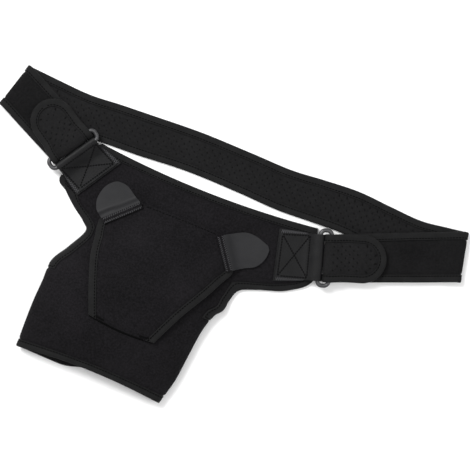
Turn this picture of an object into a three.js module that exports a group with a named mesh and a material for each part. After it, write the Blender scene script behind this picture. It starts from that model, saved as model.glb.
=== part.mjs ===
import * as THREE from "three";

// A shoulder brace of neoprene that lies flat: millimetres, +Z up, +Y toward the collar side.
// Tables hold places as shares of the whole outline, measured from its lower left corner.

// The outline that the whole brace fills as it lies.
const braceLength = 486;
const braceWidth = 351;

// Neoprene walls, and how far a bound edge is squeezed.
const sleeveWall = 3.2;
const flapWall = 2.6;
const strapWall = 2.6;
const pressedWall = 1;
const pressRamp = 3;

// The folded tape on every bound edge.
const tapeWidth = 7;
const tapeWall = 1;
const clearance = 0.3;
const boundHalf = pressedWall / 2 + clearance + tapeWall;
const tapeReach = clearance + tapeWall;

// The arm tube stands up a little between its two side folds.
const sleeveHeight = 25;
const underFoldReach = 13;

// The cuff's under layer peeks out past the top one: how far, as a share of the cuff's bow, and
// where along the cuff it is hidden again.
const underPeek = 0.25;
const peekStart = 0.3;
const peekFade = 0.2;

// The chest strap.
const strapWidth = 48;
const strapFoldRadius = 3.3;
const foldEase = 24;
const leftEndLength = 53.5;
const rightEndLength = 58.5;
const ringEase = 16;

// The two rings.
const ringBar = 4.4;
const ringSlotWidth = 7;
const ringSideRoom = 1.3;

// The loops that hold the rings on the wings.
const anchorWall = 1.5;
const anchorWidth = 48.5;
const leftAnchorLength = 33.5;
const rightAnchorLength = 43;
const lowerLeafMargin = 3.5;
const lowerLeafReach = 1.5;

// The flap's fastening tabs.
const tabWall = 1.6;
const tabLap = 6.5;
const upperTabDepth = 30.3;
const upperTabWidth = 43;
const sideTabDepth = 42.5;
const sideTabWidth = 38;
const layGap = 0.5;

// The pads that hold the strap's ends down.
const padWall = 1.2;
const padWidth = 30;
const padLength = 20;
const padStart = 21;

// Rows of the sleeve from the cuff to the neck edge, seen from above.
// crown and edge are shares of sleeveHeight, bow is a share of braceWidth toward the cuff,
// and dome is 1 for a full round row and 0 for one that rises only in its middle.
const sleeveRows = [
  { leftX: 0.036, leftY: 0.172, rightX: 0.335, rightY: 0.006, bow: -0.0155, crown: 0.78, edge: 0.26, dome: 1 },
  { leftX: 0.053, leftY: 0.236, rightX: 0.368, rightY: 0.068, bow: -0.006, crown: 0.90, edge: 0.26, dome: 1 },
  { leftX: 0.071, leftY: 0.300, rightX: 0.397, rightY: 0.143, bow: 0, crown: 1.00, edge: 0.26, dome: 1 },
  { leftX: 0.091, leftY: 0.361, rightX: 0.425, rightY: 0.214, bow: 0, crown: 1.00, edge: 0.26, dome: 1 },
  { leftX: 0.110, leftY: 0.420, rightX: 0.451, rightY: 0.260, bow: 0, crown: 0.96, edge: 0.25, dome: 1 },
  { leftX: 0.145, leftY: 0.459, rightX: 0.472, rightY: 0.278, bow: 0, crown: 0.90, edge: 0.17, dome: 1 },
  { leftX: 0.183, leftY: 0.507, rightX: 0.485, rightY: 0.308, bow: 0, crown: 0.80, edge: 0.09, dome: 0.8 },
  { leftX: 0.177, leftY: 0.541, rightX: 0.507, rightY: 0.337, bow: 0, crown: 0.66, edge: 0.03, dome: 0.5 },
  { leftX: 0.157, leftY: 0.583, rightX: 0.550, rightY: 0.338, bow: 0, crown: 0.50, edge: 0, dome: 0.15 },
  { leftX: 0.140, leftY: 0.629, rightX: 0.612, rightY: 0.336, bow: 0, crown: 0.30, edge: 0, dome: 0 },
  { leftX: 0.130, leftY: 0.675, rightX: 0.668, rightY: 0.372, bow: 0.004, crown: 0.12, edge: 0, dome: 0 },
  { leftX: 0.213, leftY: 0.765, rightX: 0.676, rightY: 0.513, bow: 0.0205, crown: 0, edge: 0, dome: 0 },
];
const cuffRow = 0;
const armpitRow = 4;
const wingRow = 10;
const neckRow = 11;

// Rows of the compression flap from its sewn lower seam to its upper edge.
const flapRows = [
  { leftX: 0.192, leftY: 0.263, rightX: 0.325, rightY: 0.182, bow: 0.008 },
  { leftX: 0.192, leftY: 0.349, rightX: 0.382, rightY: 0.257, bow: 0.003 },
  { leftX: 0.195, leftY: 0.438, rightX: 0.433, rightY: 0.314, bow: 0 },
  { leftX: 0.204, leftY: 0.494, rightX: 0.469, rightY: 0.358, bow: 0 },
  { leftX: 0.215, leftY: 0.546, rightX: 0.493, rightY: 0.392, bow: 0 },
  { leftX: 0.256, leftY: 0.571, rightX: 0.483, rightY: 0.447, bow: 0 },
  { leftX: 0.298, leftY: 0.594, rightX: 0.474, rightY: 0.497, bow: -0.003 },
];
const flapBoundRow = 4;

// The tabs' outlines from their seam to their tip: shares of the tab's depth and of half its width.
const upperTabOutline = [
  { depth: 0, left: -1, right: 1 },
  { depth: 0.2, left: -1.07, right: 0.9 },
  { depth: 0.4, left: -1.07, right: 0.84 },
  { depth: 0.7, left: -0.85, right: 0.72 },
  { depth: 0.93, left: -0.4, right: 0.44 },
  { depth: 1, left: -0.05, right: 0.2 },
];
const sideTabOutline = [
  { depth: 0, left: -1, right: 1 },
  { depth: 0.3, left: -0.93, right: 1.04 },
  { depth: 0.55, left: -0.83, right: 1.12 },
  { depth: 0.75, left: -0.54, right: 0.98 },
  { depth: 0.9, left: -0.14, right: 0.73 },
  { depth: 1, left: 0.18, right: 0.42 },
];

// The strap's long run between its two folds: centre, direction across it in degrees, and
// its width as a share of strapWidth.
const longRun = [
  { x: 0.107, y: 0.893, across: 62, spread: 0.96 },
  { x: 0.174, y: 0.854, across: 68, spread: 0.91 },
  { x: 0.243, y: 0.823, across: 71, spread: 0.91 },
  { x: 0.305, y: 0.793, across: 71, spread: 0.92 },
  { x: 0.412, y: 0.743, across: 69, spread: 0.90 },
  { x: 0.517, y: 0.683, across: 68, spread: 0.90 },
  { x: 0.603, y: 0.631, across: 69, spread: 0.92 },
  { x: 0.675, y: 0.598, across: 70, spread: 0.95 },
  { x: 0.746, y: 0.564, across: 67, spread: 0.97 },
  { x: 0.812, y: 0.518, across: 65, spread: 1.00 },
  { x: 0.878, y: 0.473, across: 69, spread: 1.04 },
  { x: 0.938, y: 0.448, across: 75, spread: 1.08 },
];

// What differs between the strap's two ends: ring centre, direction from wing to strap through
// the ring, the fold's middle and direction, the direction across the end, and its widths.
const strapEnds = {
  left: {
    ringX: 0.154, ringY: 0.750, heading: 125.5, foldX: 0.027, foldY: 0.9435, foldAcross: 52,
    runAcross: 40.5, endAcross: 35.5, endSpread: 1.05, tipSpread: 0.97, foldSpread: 1.07, endLength: leftEndLength,
    anchorLength: leftAnchorLength, anchorLean: 6.5, farTurn: 1, farWidth: 1,
  },
  right: {
    ringX: 0.690, ringY: 0.429, heading: -4.5, foldX: 0.990, foldY: 0.430, foldAcross: 80.8,
    runAcross: 93, endAcross: 86.6, endSpread: 1.04, tipSpread: 1.04, foldSpread: 1.11, endLength: rightEndLength,
    anchorLength: rightAnchorLength, anchorLean: 0.5, farTurn: -3, farWidth: 0.98,
  },
};

// Sizes that follow from the ones above.
const runLevel = boundHalf;
const crossLevel = 3 * boundHalf + clearance;
const strapWrapRadius = ringBar / 2 + clearance + boundHalf;
const anchorWrapRadius = ringBar / 2 + clearance + anchorWall / 2;
const ringLevel = crossLevel + strapWrapRadius;
const padLevel = crossLevel + boundHalf + clearance + padWall / 2;
const endLevel = padLevel + padWall / 2 + clearance + boundHalf;
const barOffset = (ringSlotWidth + ringBar) / 2;
const widestEnd = Math.max(strapEnds.left.endSpread, strapEnds.right.endSpread);
const ringSlotLength = strapWidth * widestEnd + 2 * ringSideRoom;

const materials = {
  neoprene: { color: 0x26242a, roughness: 0.9, metalness: 0 },
  strap_neoprene: { color: 0x2b292e, roughness: 0.9, metalness: 0 },
  tape: { color: 0x1c1b1f, roughness: 0.8, metalness: 0 },
  tab_cloth: { color: 0x45434a, roughness: 0.7, metalness: 0 },
  leather_loop: { color: 0x333136, roughness: 0.6, metalness: 0 },
  ring_plastic: { color: 0x55555a, roughness: 0.4, metalness: 0.3 },
};

const up = new THREE.Vector3(0, 0, 1);

function spot(shareX, shareY, height = 0) {
  return new THREE.Vector3(shareX * braceLength, shareY * braceWidth, height);
}

function direction(degrees) {
  const angle = THREE.MathUtils.degToRad(degrees);
  return new THREE.Vector3(Math.cos(angle), Math.sin(angle), 0);
}

function along(start, ...steps) {
  const end = start.clone();
  for (const [vector, distance] of steps) {
    end.addScaledVector(vector, distance);
  }
  return end;
}

function blend(from, to, part) {
  return from + (to - from) * part;
}

function ease(part) {
  const held = Math.min(Math.max(part, 0), 1);
  return held * held * (3 - 2 * held);
}

// A smooth curve through one column of a table, at a row number that may lie between two rows.
function column(table, name, at) {
  const last = table.length - 1;
  const start = Math.min(Math.floor(at), last - 1);
  const part = at - start;
  const value = (index) => table[Math.min(Math.max(index, 0), last)][name];
  const [before, from, to, after] = [value(start - 1), value(start), value(start + 1), value(start + 2)];
  const bend = 2 * before - 5 * from + 4 * to - after + part * (3 * (from - to) + after - before);
  return from + 0.5 * part * (to - before + part * bend);
}

// Sheets: corners hold a place, half of the wall there, and marks that name bound strips.

function corner(at, half, marks = []) {
  return { at, half, marks };
}

function makeSheet(...grids) {
  const sheet = { points: [], halves: [], marks: [], triangles: [] };
  const known = new Map();
  const indexOf = (item) => {
    const key = item.at.toArray().map((value) => value.toFixed(4)).join(" ");
    if (!known.has(key)) {
      known.set(key, sheet.points.length);
      sheet.points.push(item.at);
      sheet.halves.push(item.half);
      sheet.marks.push(new Set());
    }
    const index = known.get(key);
    item.marks.forEach((mark) => sheet.marks[index].add(mark));
    return index;
  };
  const addTriangle = (a, b, c) => {
    if (a !== b && b !== c && c !== a) {
      sheet.triangles.push([a, b, c]);
    }
  };
  for (const { rows, flipped } of grids) {
    const indices = rows.map((row) => row.map(indexOf));
    for (let row = 0; row + 1 < indices.length; row += 1) {
      for (let col = 0; col + 1 < indices[row].length; col += 1) {
        const [a, b] = [indices[row][col], indices[row][col + 1]];
        const [c, d] = [indices[row + 1][col + 1], indices[row + 1][col]];
        if (flipped) {
          addTriangle(a, c, b);
          addTriangle(a, d, c);
        } else {
          addTriangle(a, b, c);
          addTriangle(a, c, d);
        }
      }
    }
  }
  sheet.normals = sheetNormals(sheet);
  sheet.edges = openEdges(sheet.triangles);
  return sheet;
}

function sheetNormals(sheet) {
  const normals = sheet.points.map(() => new THREE.Vector3());
  for (const triangle of sheet.triangles) {
    const [a, b, c] = triangle.map((index) => sheet.points[index]);
    const normal = b.clone().sub(a).cross(c.clone().sub(a));
    triangle.forEach((index) => normals[index].add(normal));
  }
  return normals.map((normal) => normal.normalize());
}

// The edges that belong to one triangle only, in that triangle's direction.
function openEdges(triangles) {
  const edges = new Map();
  for (const [a, b, c] of triangles) {
    for (const [from, to] of [[a, b], [b, c], [c, a]]) {
      edges.set(`${from} ${to}`, [from, to]);
    }
  }
  return [...edges.values()].filter(([from, to]) => !edges.has(`${to} ${from}`));
}

function quad(a, b, c, d) {
  return [[a, b, c], [a, c, d]];
}

// A wall of cloth: the sheet moved half its thickness to both sides and closed at its edges.
function thicken(sheet) {
  const count = sheet.points.length;
  const moved = (side) => sheet.points.map((point, index) =>
    along(point, [sheet.normals[index], side * sheet.halves[index]]));
  const faces = [];
  for (const [a, b, c] of sheet.triangles) {
    faces.push([a, b, c], [c + count, b + count, a + count]);
  }
  for (const [from, to] of sheet.edges) {
    faces.push(...quad(from + count, to + count, to, from));
  }
  return { points: [...moved(1), ...moved(-1)], faces };
}

// Tape folded over the open edges of the sheet whose two ends carry the rim mark. It covers the
// triangles whose corners all carry the mark, at a small clearance on both sides.
function foldTape(sheet, mark, rimMark) {
  const isBound = (triangle) => triangle.every((index) => sheet.marks[index].has(mark));
  const strip = sheet.triangles.filter(isBound);
  const open = new Set(sheet.edges.map((edge) => edge.join(" ")));
  const stripEdges = openEdges(strip);
  const isRim = ([from, to]) => open.has(`${from} ${to}`)
    && sheet.marks[from].has(rimMark) && sheet.marks[to].has(rimMark);
  const outward = rimDirections(sheet, stripEdges.filter(isRim));

  const points = [];
  const faces = [];
  const places = new Map();
  const placesOf = (index) => {
    if (!places.has(index)) {
      const out = outward.get(index) ?? new THREE.Vector3();
      const normal = sheet.normals[index];
      const inner = sheet.halves[index] + clearance;
      const outer = inner + tapeWall;
      const first = points.length;
      points.push(
        along(sheet.points[index], [out, clearance], [normal, outer]),
        along(sheet.points[index], [out, clearance], [normal, inner]),
        along(sheet.points[index], [out, clearance], [normal, -inner]),
        along(sheet.points[index], [out, clearance], [normal, -outer]),
      );
      if (outward.has(index)) {
        points.push(along(sheet.points[index], [out, tapeReach]));
      }
      places.set(index, { top: first, topIn: first + 1, lowIn: first + 2, low: first + 3, rim: first + 4 });
    }
    return places.get(index);
  };

  for (const triangle of strip) {
    const [a, b, c] = triangle.map(placesOf);
    faces.push([a.top, b.top, c.top], [c.topIn, b.topIn, a.topIn]);
    faces.push([a.lowIn, b.lowIn, c.lowIn], [c.low, b.low, a.low]);
  }
  const rimStarts = new Set();
  const rimEnds = new Set();
  for (const edge of stripEdges) {
    const [from, to] = edge.map(placesOf);
    if (isRim(edge)) {
      faces.push(...quad(from.rim, to.rim, to.top, from.top));
      faces.push(...quad(from.low, to.low, to.rim, from.rim));
      faces.push(...quad(from.topIn, to.topIn, to.lowIn, from.lowIn));
      rimStarts.add(edge[0]);
      rimEnds.add(edge[1]);
    } else {
      faces.push(...quad(from.topIn, to.topIn, to.top, from.top));
      faces.push(...quad(from.low, to.low, to.lowIn, from.lowIn));
    }
  }
  for (const index of rimStarts) {
    if (!rimEnds.has(index)) {
      faces.push(...tapeEnd(placesOf(index)));
    }
  }
  for (const index of rimEnds) {
    if (!rimStarts.has(index)) {
      faces.push(...tapeEnd(placesOf(index)).map(([a, b, c]) => [c, b, a]));
    }
  }
  return { points, faces };
}

function tapeEnd(place) {
  return [
    [place.rim, place.top, place.topIn],
    [place.rim, place.topIn, place.lowIn],
    [place.rim, place.lowIn, place.low],
  ];
}

function rimDirections(sheet, rim) {
  const outward = new Map();
  for (const [from, to] of rim) {
    const edge = sheet.points[to].clone().sub(sheet.points[from]).normalize();
    for (const index of [from, to]) {
      const side = edge.clone().cross(sheet.normals[index]).normalize();
      outward.set(index, (outward.get(index) ?? new THREE.Vector3()).add(side));
    }
  }
  outward.forEach((side) => side.normalize());
  return outward;
}

function piece(name, material, { points, faces }) {
  const places = faces.flat().flatMap((index) => points[index].toArray());
  const geometry = new THREE.BufferGeometry();
  geometry.setAttribute("position", new THREE.Float32BufferAttribute(places, 3));
  geometry.computeVertexNormals();
  const mesh = new THREE.Mesh(geometry, new THREE.MeshStandardMaterial(materials[material]));
  mesh.name = name;
  return mesh;
}

// How high the given solids reach at a place, or null where none lies.
function topHeight(solids, x, y) {
  let highest = null;
  for (const { points, faces } of solids) {
    for (const face of faces) {
      const [a, b, c] = face.map((index) => points[index]);
      const area = (b.x - a.x) * (c.y - a.y) - (c.x - a.x) * (b.y - a.y);
      if (Math.abs(area) < 1e-9) continue;
      const second = ((x - a.x) * (c.y - a.y) - (c.x - a.x) * (y - a.y)) / area;
      const third = ((b.x - a.x) * (y - a.y) - (x - a.x) * (b.y - a.y)) / area;
      if (second < 0 || third < 0 || second + third > 1) continue;
      const height = a.z + second * (b.z - a.z) + third * (c.z - a.z);
      highest = highest === null ? height : Math.max(highest, height);
    }
  }
  return highest;
}

// The height that cloth laid at a place rests on: the highest point close around it.
function restHeight(solids, place, reach = 3) {
  let highest = topHeight(solids, place.x, place.y) ?? 0;
  for (let turn = 0; turn < 360; turn += 60) {
    const near = along(place, [direction(turn), reach]);
    highest = Math.max(highest, topHeight(solids, near.x, near.y) ?? 0);
  }
  return highest;
}

// Distances across a row of a bound panel: the edges, the tape's inner line, the ramp to the
// full wall, and even steps between.
function acrossMarks(length, leftTape, rightTape, steps) {
  const left = leftTape + pressRamp;
  const right = length - rightTape - pressRamp;
  const marks = [0, leftTape * 0.3, leftTape];
  for (let step = 0; step <= steps; step += 1) {
    marks.push(blend(left, right, step / steps));
  }
  marks.push(length - rightTape, length - rightTape * 0.3, length);
  return marks;
}

// A row of a panel table as places from its left to its right end, at z = 0.
// bowShare says how much of the table's bow a place takes, by its share along the row.
function panelRow(table, at, steps, bowShare = () => 1) {
  const end = (side, row) => spot(column(table, `${side}X`, row), column(table, `${side}Y`, row));
  const left = end("left", at);
  const right = end("right", at);
  const span = right.clone().sub(left);
  const length = span.length();
  const heading = span.normalize();
  const toCuff = heading.clone().cross(up);
  const last = table.length - 1;
  const tapeAlongRow = (side) => {
    const edge = end(side, Math.min(at + 0.5, last)).sub(end(side, Math.max(at - 0.5, 0))).normalize();
    return tapeWidth / Math.max(Math.abs(edge.cross(heading).z), 0.4);
  };
  const marks = acrossMarks(length, tapeAlongRow("left"), tapeAlongRow("right"), steps);
  const bow = column(table, "bow", at) * braceWidth;
  return marks.map((distance) => {
    const share = distance / length;
    const bowHere = bow * (1 - (2 * share - 1) ** 2) * bowShare(share);
    return { share, distance, length, at: along(left, [heading, distance], [toCuff, bowHere]) };
  });
}

function rowSpacing(table, row) {
  const middle = (at) => spot(
    (column(table, "leftX", at) + column(table, "rightX", at)) / 2,
    (column(table, "leftY", at) + column(table, "rightY", at)) / 2,
  );
  return middle(row).distanceTo(middle(row + 1));
}

// Row numbers of the sleeve, with extra rows where tape ends and where the wall is full again.
function sleeveRowMarks() {
  const cuffStep = rowSpacing(sleeveRows, cuffRow);
  const armpitStep = rowSpacing(sleeveRows, armpitRow - 1);
  const neckStep = rowSpacing(sleeveRows, wingRow);
  const tapeAndRamp = tapeWidth + pressRamp;
  return {
    cuffTape: tapeWidth / cuffStep,
    armpitTape: armpitRow - tapeWidth / armpitStep,
    neckTape: neckRow - tapeWidth / neckStep,
    all: [
      cuffRow, tapeWidth / cuffStep, tapeAndRamp / cuffStep, 1, 1.5, 2, 2.5, 3,
      armpitRow - tapeAndRamp / armpitStep, armpitRow - tapeWidth / armpitStep, armpitRow,
      4.4, 5, 5.5, 6, 6.5, 7, 7.5, 8, 8.5, 9, 9.5, wingRow,
      neckRow - tapeAndRamp / neckStep - 0.25, neckRow - tapeAndRamp / neckStep,
      neckRow - tapeWidth / neckStep, neckRow,
    ],
  };
}

function sleeveTopHeight(at, share) {
  const value = (name) => Math.max(column(sleeveRows, name, at), 0) * sleeveHeight;
  const round = (1 - Math.abs(2 * share - 1) ** 2.4) ** 0.62;
  const narrow = (1 - (2 * share - 1) ** 2) ** 2;
  const shape = blend(narrow, round, Math.min(Math.max(column(sleeveRows, "dome", at), 0), 1));
  return boundHalf + blend(value("edge"), Math.max(value("crown"), value("edge")), shape);
}

function sleeveUnderHeight(at, distance, length) {
  const fromEnd = Math.min(distance, length - distance) / underFoldReach;
  const drop = Math.sqrt(1 - (1 - Math.min(fromEnd, 1)) ** 2);
  const fromMouth = Math.min(at - cuffRow, armpitRow - at) * rowSpacing(sleeveRows, cuffRow);
  const flat = blend(boundHalf, sleeveWall / 2, ease((fromMouth - tapeWidth) / (2 * pressRamp)));
  return blend(sleeveTopHeight(at, 0), flat, drop);
}

// The under layer shows below the top one in the rear half of the cuff.
function underBowShare(at) {
  const shown = 1 - ease(at / armpitRow);
  return (share) => 1 - shown * (1 + underPeek) * (1 - ease((share - peekStart) / peekFade));
}

function sleeveSheet() {
  const steps = 8;
  const marks = sleeveRowMarks();
  const isSame = (a, b) => Math.abs(a - b) < 1e-9;
  const topRows = [];
  const underRows = [];
  for (const at of marks.all) {
    const places = panelRow(sleeveRows, at, steps);
    const last = places.length - 1;
    const inCuff = at <= marks.cuffTape + 1e-9;
    const inNeck = at >= marks.neckTape - 1e-9;
    const sides = at >= marks.armpitTape - 1e-9 && at <= wingRow;
    topRows.push(places.map((item, index) => {
      const labels = [];
      const nearSide = index <= 2 || index >= last - 2;
      if (inCuff) labels.push("cuff");
      if (inNeck) labels.push("neck");
      if (sides && nearSide) labels.push("armpit");
      if (isSame(at, cuffRow)) labels.push("cuffRim");
      if (isSame(at, neckRow)) labels.push("neckRim");
      if (at >= armpitRow && at <= wingRow && (index === 0 || index === last)) labels.push("armpitRim");
      const pressed = inCuff || inNeck || (nearSide && at >= marks.armpitTape - 1e-9);
      const height = sleeveTopHeight(at, item.share);
      return corner(item.at.setZ(height), (pressed ? pressedWall : sleeveWall) / 2, labels);
    }));
    if (at > armpitRow) continue;
    const inArmpit = at >= marks.armpitTape - 1e-9;
    underRows.push(panelRow(sleeveRows, at, steps, underBowShare(at)).map((item, index) => {
      const labels = [];
      if (inCuff) labels.push("cuff");
      if (inArmpit) labels.push("armpit");
      if (isSame(at, cuffRow)) labels.push("cuffRim");
      if (isSame(at, armpitRow)) labels.push("armpitRim");
      const atFold = index === 0 || index === last;
      const height = sleeveUnderHeight(at, item.distance, item.length);
      const place = atFold ? topRows.at(-1)[index].at : item.at.setZ(height);
      return corner(place, (inCuff || inArmpit ? pressedWall : sleeveWall) / 2, labels);
    }));
  }
  return makeSheet({ rows: topRows, flipped: false }, { rows: underRows, flipped: true });
}

function flapSheet(under) {
  const steps = 5;
  const rows = [];
  for (let at = 0; at <= flapRows.length - 1; at += 0.5) {
    const places = panelRow(flapRows, at, steps);
    const last = places.length - 1;
    rows.push(places.map((item, index) => {
      const bound = at <= flapBoundRow;
      const labels = [];
      if (bound && index <= 2) labels.push("rear");
      if (bound && index >= last - 2) labels.push("front");
      if (bound && index === 0) labels.push("rearRim");
      if (bound && index === last) labels.push("frontRim");
      const height = restHeight(under, item.at) + layGap + boundHalf;
      return corner(item.at.setZ(height), (labels.length ? pressedWall : flapWall) / 2, labels);
    }));
  }
  return makeSheet({ rows, flipped: false });
}

// A tab laid on what is under it, from its seam outward.
function tabSheet(outline, seam, outwardDegrees, depth, width, under) {
  const outwardWay = direction(outwardDegrees);
  const sideways = outwardWay.clone().cross(up);
  const rows = [];
  const columns = 6;
  const addRow = (distance, left, right) => {
    const row = [];
    for (let step = 0; step <= columns; step += 1) {
      const side = blend(left, right, step / columns) * width / 2;
      const place = along(seam, [outwardWay, distance], [sideways, side]);
      const height = restHeight(under, place, tabLap) + layGap + tabWall / 2;
      row.push(corner(place.setZ(height), tabWall / 2));
    }
    rows.push(row);
  };
  addRow(-tabLap, outline[0].left, outline[0].right);
  for (let at = 0; at <= outline.length - 1; at += 0.5) {
    const value = (name) => column(outline, name, at);
    addRow(value("depth") * depth, value("left"), value("right"));
  }
  return makeSheet({ rows, flipped: false });
}

// The strap's mid surface: stations with a centre, a direction across and a half width, from
// the left rounded end over both folds to the right rounded end.

function station(centre, acrossDegrees, spread) {
  return { centre, across: direction(acrossDegrees), half: strapWidth * spread / 2 - tapeReach };
}

function ringFrame(end) {
  const heading = direction(end.heading);
  const centre = spot(end.ringX, end.ringY, ringLevel);
  const bar = along(centre, [heading, barOffset]);
  const anchorBar = along(centre, [heading, -barOffset]);
  return { centre, heading, bar, anchorBar };
}

// The across direction of the ring's bars, on the same side as the strap's.
function barAcross(end) {
  return end.heading > 90 ? end.heading - 90 : end.heading + 90;
}

// From just inside the rounded tip to the end of the run that meets the fold's arc.
function strapEnd(end) {
  const { bar, heading } = ringFrame(end);
  const sideways = end.endAcross;
  const outDegrees = end === strapEnds.left ? sideways + 90 : sideways - 90;
  const away = direction(outDegrees);
  const foldOut = direction(end === strapEnds.left ? end.foldAcross + 90 : end.foldAcross - 90);
  const foldLine = spot(end.foldX, end.foldY);
  const foldAxis = along(foldLine, [foldOut, -(strapFoldRadius + boundHalf)]);
  const stations = [];

  const tipReach = end.endLength - (strapWidth * end.tipSpread / 2);
  const lapMarks = [tipReach, tipReach * 0.7, ringEase, ringEase * 0.66, ringEase * 0.33];
  for (const distance of lapMarks) {
    const part = ease(distance / ringEase);
    const level = blend(ringLevel + strapWrapRadius, endLevel, part);
    const place = along(bar, [away, distance]).setZ(level);
    const spread = blend(end.endSpread, end.tipSpread, part);
    stations.push(station(place, blend(barAcross(end), sideways, part), spread));
  }
  for (let turn = 90; turn >= -90; turn -= 30) {
    const angle = THREE.MathUtils.degToRad(turn);
    const place = along(bar, [heading, -strapWrapRadius * Math.cos(angle)]);
    place.setZ(ringLevel + strapWrapRadius * Math.sin(angle));
    stations.push(station(place, barAcross(end), end.endSpread));
  }
  const start = bar.clone().setZ(0);
  const runLength = start.distanceTo(foldAxis);
  const foldTop = runLevel + 2 * strapFoldRadius;
  const easeShare = foldEase / runLength;
  const runMarks = [0.16, 0.36, 0.55, 1 - easeShare, 1 - easeShare * 0.66, 1 - easeShare * 0.33];
  for (const share of runMarks.filter((mark, index, list) => index === 0 || mark > list[index - 1] + 0.02)) {
    const place = start.clone().lerp(foldAxis, share);
    place.setZ(blend(foldTop, crossLevel, ease((1 - share) / easeShare)));
    const toMiddle = blend(barAcross(end), end.runAcross, ease(share * 2));
    const across = blend(toMiddle, end.foldAcross, ease(share * 2 - 1));
    stations.push(station(place, across, blend(end.endSpread, end.foldSpread, share)));
  }
  for (let turn = 90; turn >= -90; turn -= 30) {
    const angle = THREE.MathUtils.degToRad(turn);
    const place = along(foldAxis, [foldOut, strapFoldRadius * Math.cos(angle)]);
    place.setZ(runLevel + strapFoldRadius * (1 + Math.sin(angle)));
    stations.push(station(place, end.foldAcross, end.foldSpread));
  }
  return { stations, away, sideways: direction(sideways) };
}

function strapStations() {
  const left = strapEnd(strapEnds.left);
  const right = strapEnd(strapEnds.right);
  const run = [];
  for (let at = 0; at <= longRun.length - 1; at += 1) {
    const row = longRun[at];
    run.push(station(spot(row.x, row.y, runLevel), row.across, row.spread));
  }
  return { left, right, all: [...left.stations, ...run, ...right.stations.reverse()] };
}

function strapRow({ centre, across, half }) {
  const offsets = [half, half - tapeWidth, half - tapeWidth - pressRamp];
  const places = [
    ...offsets.map((offset) => along(centre, [across, -offset])),
    ...offsets.reverse().map((offset) => along(centre, [across, offset])),
  ];
  return markStrapRow(places);
}

function markStrapRow(places) {
  return places.map((place, index) => {
    const fromEdge = Math.min(index, places.length - 1 - index);
    const labels = [["strap", "strapRim"], ["strap"], []][fromEdge];
    return corner(place, (fromEdge < 2 ? pressedWall : strapWall) / 2, labels);
  });
}

// Rows of the rounded tip, from its point back to the first full station.
function tipRows(tip, away) {
  const rows = [];
  for (const turn of [0, 18, 36, 54, 72]) {
    const angle = THREE.MathUtils.degToRad(turn);
    const radii = [tip.half, tip.half - tapeWidth, tip.half - tapeWidth - pressRamp];
    const side = (sign) => radii.map((radius) => along(
      tip.centre,
      [away, radius * Math.cos(angle)],
      [tip.across, sign * radius * Math.sin(angle)],
    ));
    rows.push(markStrapRow([...side(-1), ...side(1).reverse()]));
  }
  return rows;
}

function strapSheet() {
  const { left, right, all } = strapStations();
  const rows = [
    ...tipRows(all[0], left.away),
    ...all.map(strapRow),
    ...tipRows(all.at(-1), right.away).reverse(),
  ];
  return makeSheet({ rows, flipped: false });
}

// A flat plate between the strap's folded end and the run under it.
function padSheet(end) {
  const { bar } = ringFrame(end);
  const { away, sideways } = strapEnd(end);
  const rows = [0, 0.5, 1].map((share) => [-0.5, 0.5].map((side) => corner(
    along(bar, [away, padStart + padLength * share], [sideways, padWidth * side]).setZ(padLevel),
    padWall / 2,
  )));
  return makeSheet({ rows, flipped: end === strapEnds.right });
}

// The anchor loop: a lower leaf on the wing, up through the slot round the ring's bar, and an
// upper leaf back on top.
function anchorSheet(end, under) {
  const { anchorBar, heading } = ringFrame(end);
  const inward = direction(end.heading + 180 + end.anchorLean);
  const nearAcross = direction(end.heading + 90);
  const farAcross = direction(end.heading + 90 + end.farTurn);
  const sides = [-1, -0.5, 0, 0.5, 1];
  const leafPlace = (distance, side, margin) => {
    const part = ease(distance / end.anchorLength);
    const across = nearAcross.clone().lerp(farAcross, part).normalize();
    const width = anchorWidth * blend(1, end.farWidth, part) + 2 * margin * part;
    return along(anchorBar, [inward, distance], [across, side * width / 2]);
  };
  const lowerHeight = (place, distance) => {
    const rest = restHeight(under, place) + layGap + anchorWall / 2;
    return Math.max(rest, blend(ringLevel - anchorWrapRadius, rest, ease(distance / ringEase)));
  };
  const length = end.anchorLength;
  const distances = [0.35 * ringEase, 0.7 * ringEase, ringEase, 0.6 * length, 0.8 * length, length];
  const lower = distances.map((distance) => sides.map((side) => {
    const reach = distance + lowerLeafReach * (distance / length);
    const place = leafPlace(reach, side, lowerLeafMargin);
    return corner(place.setZ(lowerHeight(place, reach)), anchorWall / 2);
  })).reverse();
  const wrap = [];
  for (let turn = -90; turn <= 90; turn += 36) {
    const angle = THREE.MathUtils.degToRad(turn);
    wrap.push(sides.map((side) => {
      const place = leafPlace(0, side, 0).addScaledVector(heading, anchorWrapRadius * Math.cos(angle));
      return corner(place.setZ(ringLevel + anchorWrapRadius * Math.sin(angle)), anchorWall / 2);
    }));
  }
  const lowerSolid = thicken(makeSheet({ rows: [...lower, wrap[0]], flipped: true }));
  const upper = distances.map((distance) => sides.map((side) => {
    const place = leafPlace(distance, side, 0);
    const rest = restHeight([lowerSolid], place, 1) + layGap + anchorWall / 2;
    const high = blend(ringLevel + anchorWrapRadius, rest, ease(distance / ringEase));
    return corner(place.setZ(Math.max(rest, high)), anchorWall / 2);
  }));
  return makeSheet({ rows: [...lower, ...wrap, ...upper], flipped: true });
}

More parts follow.
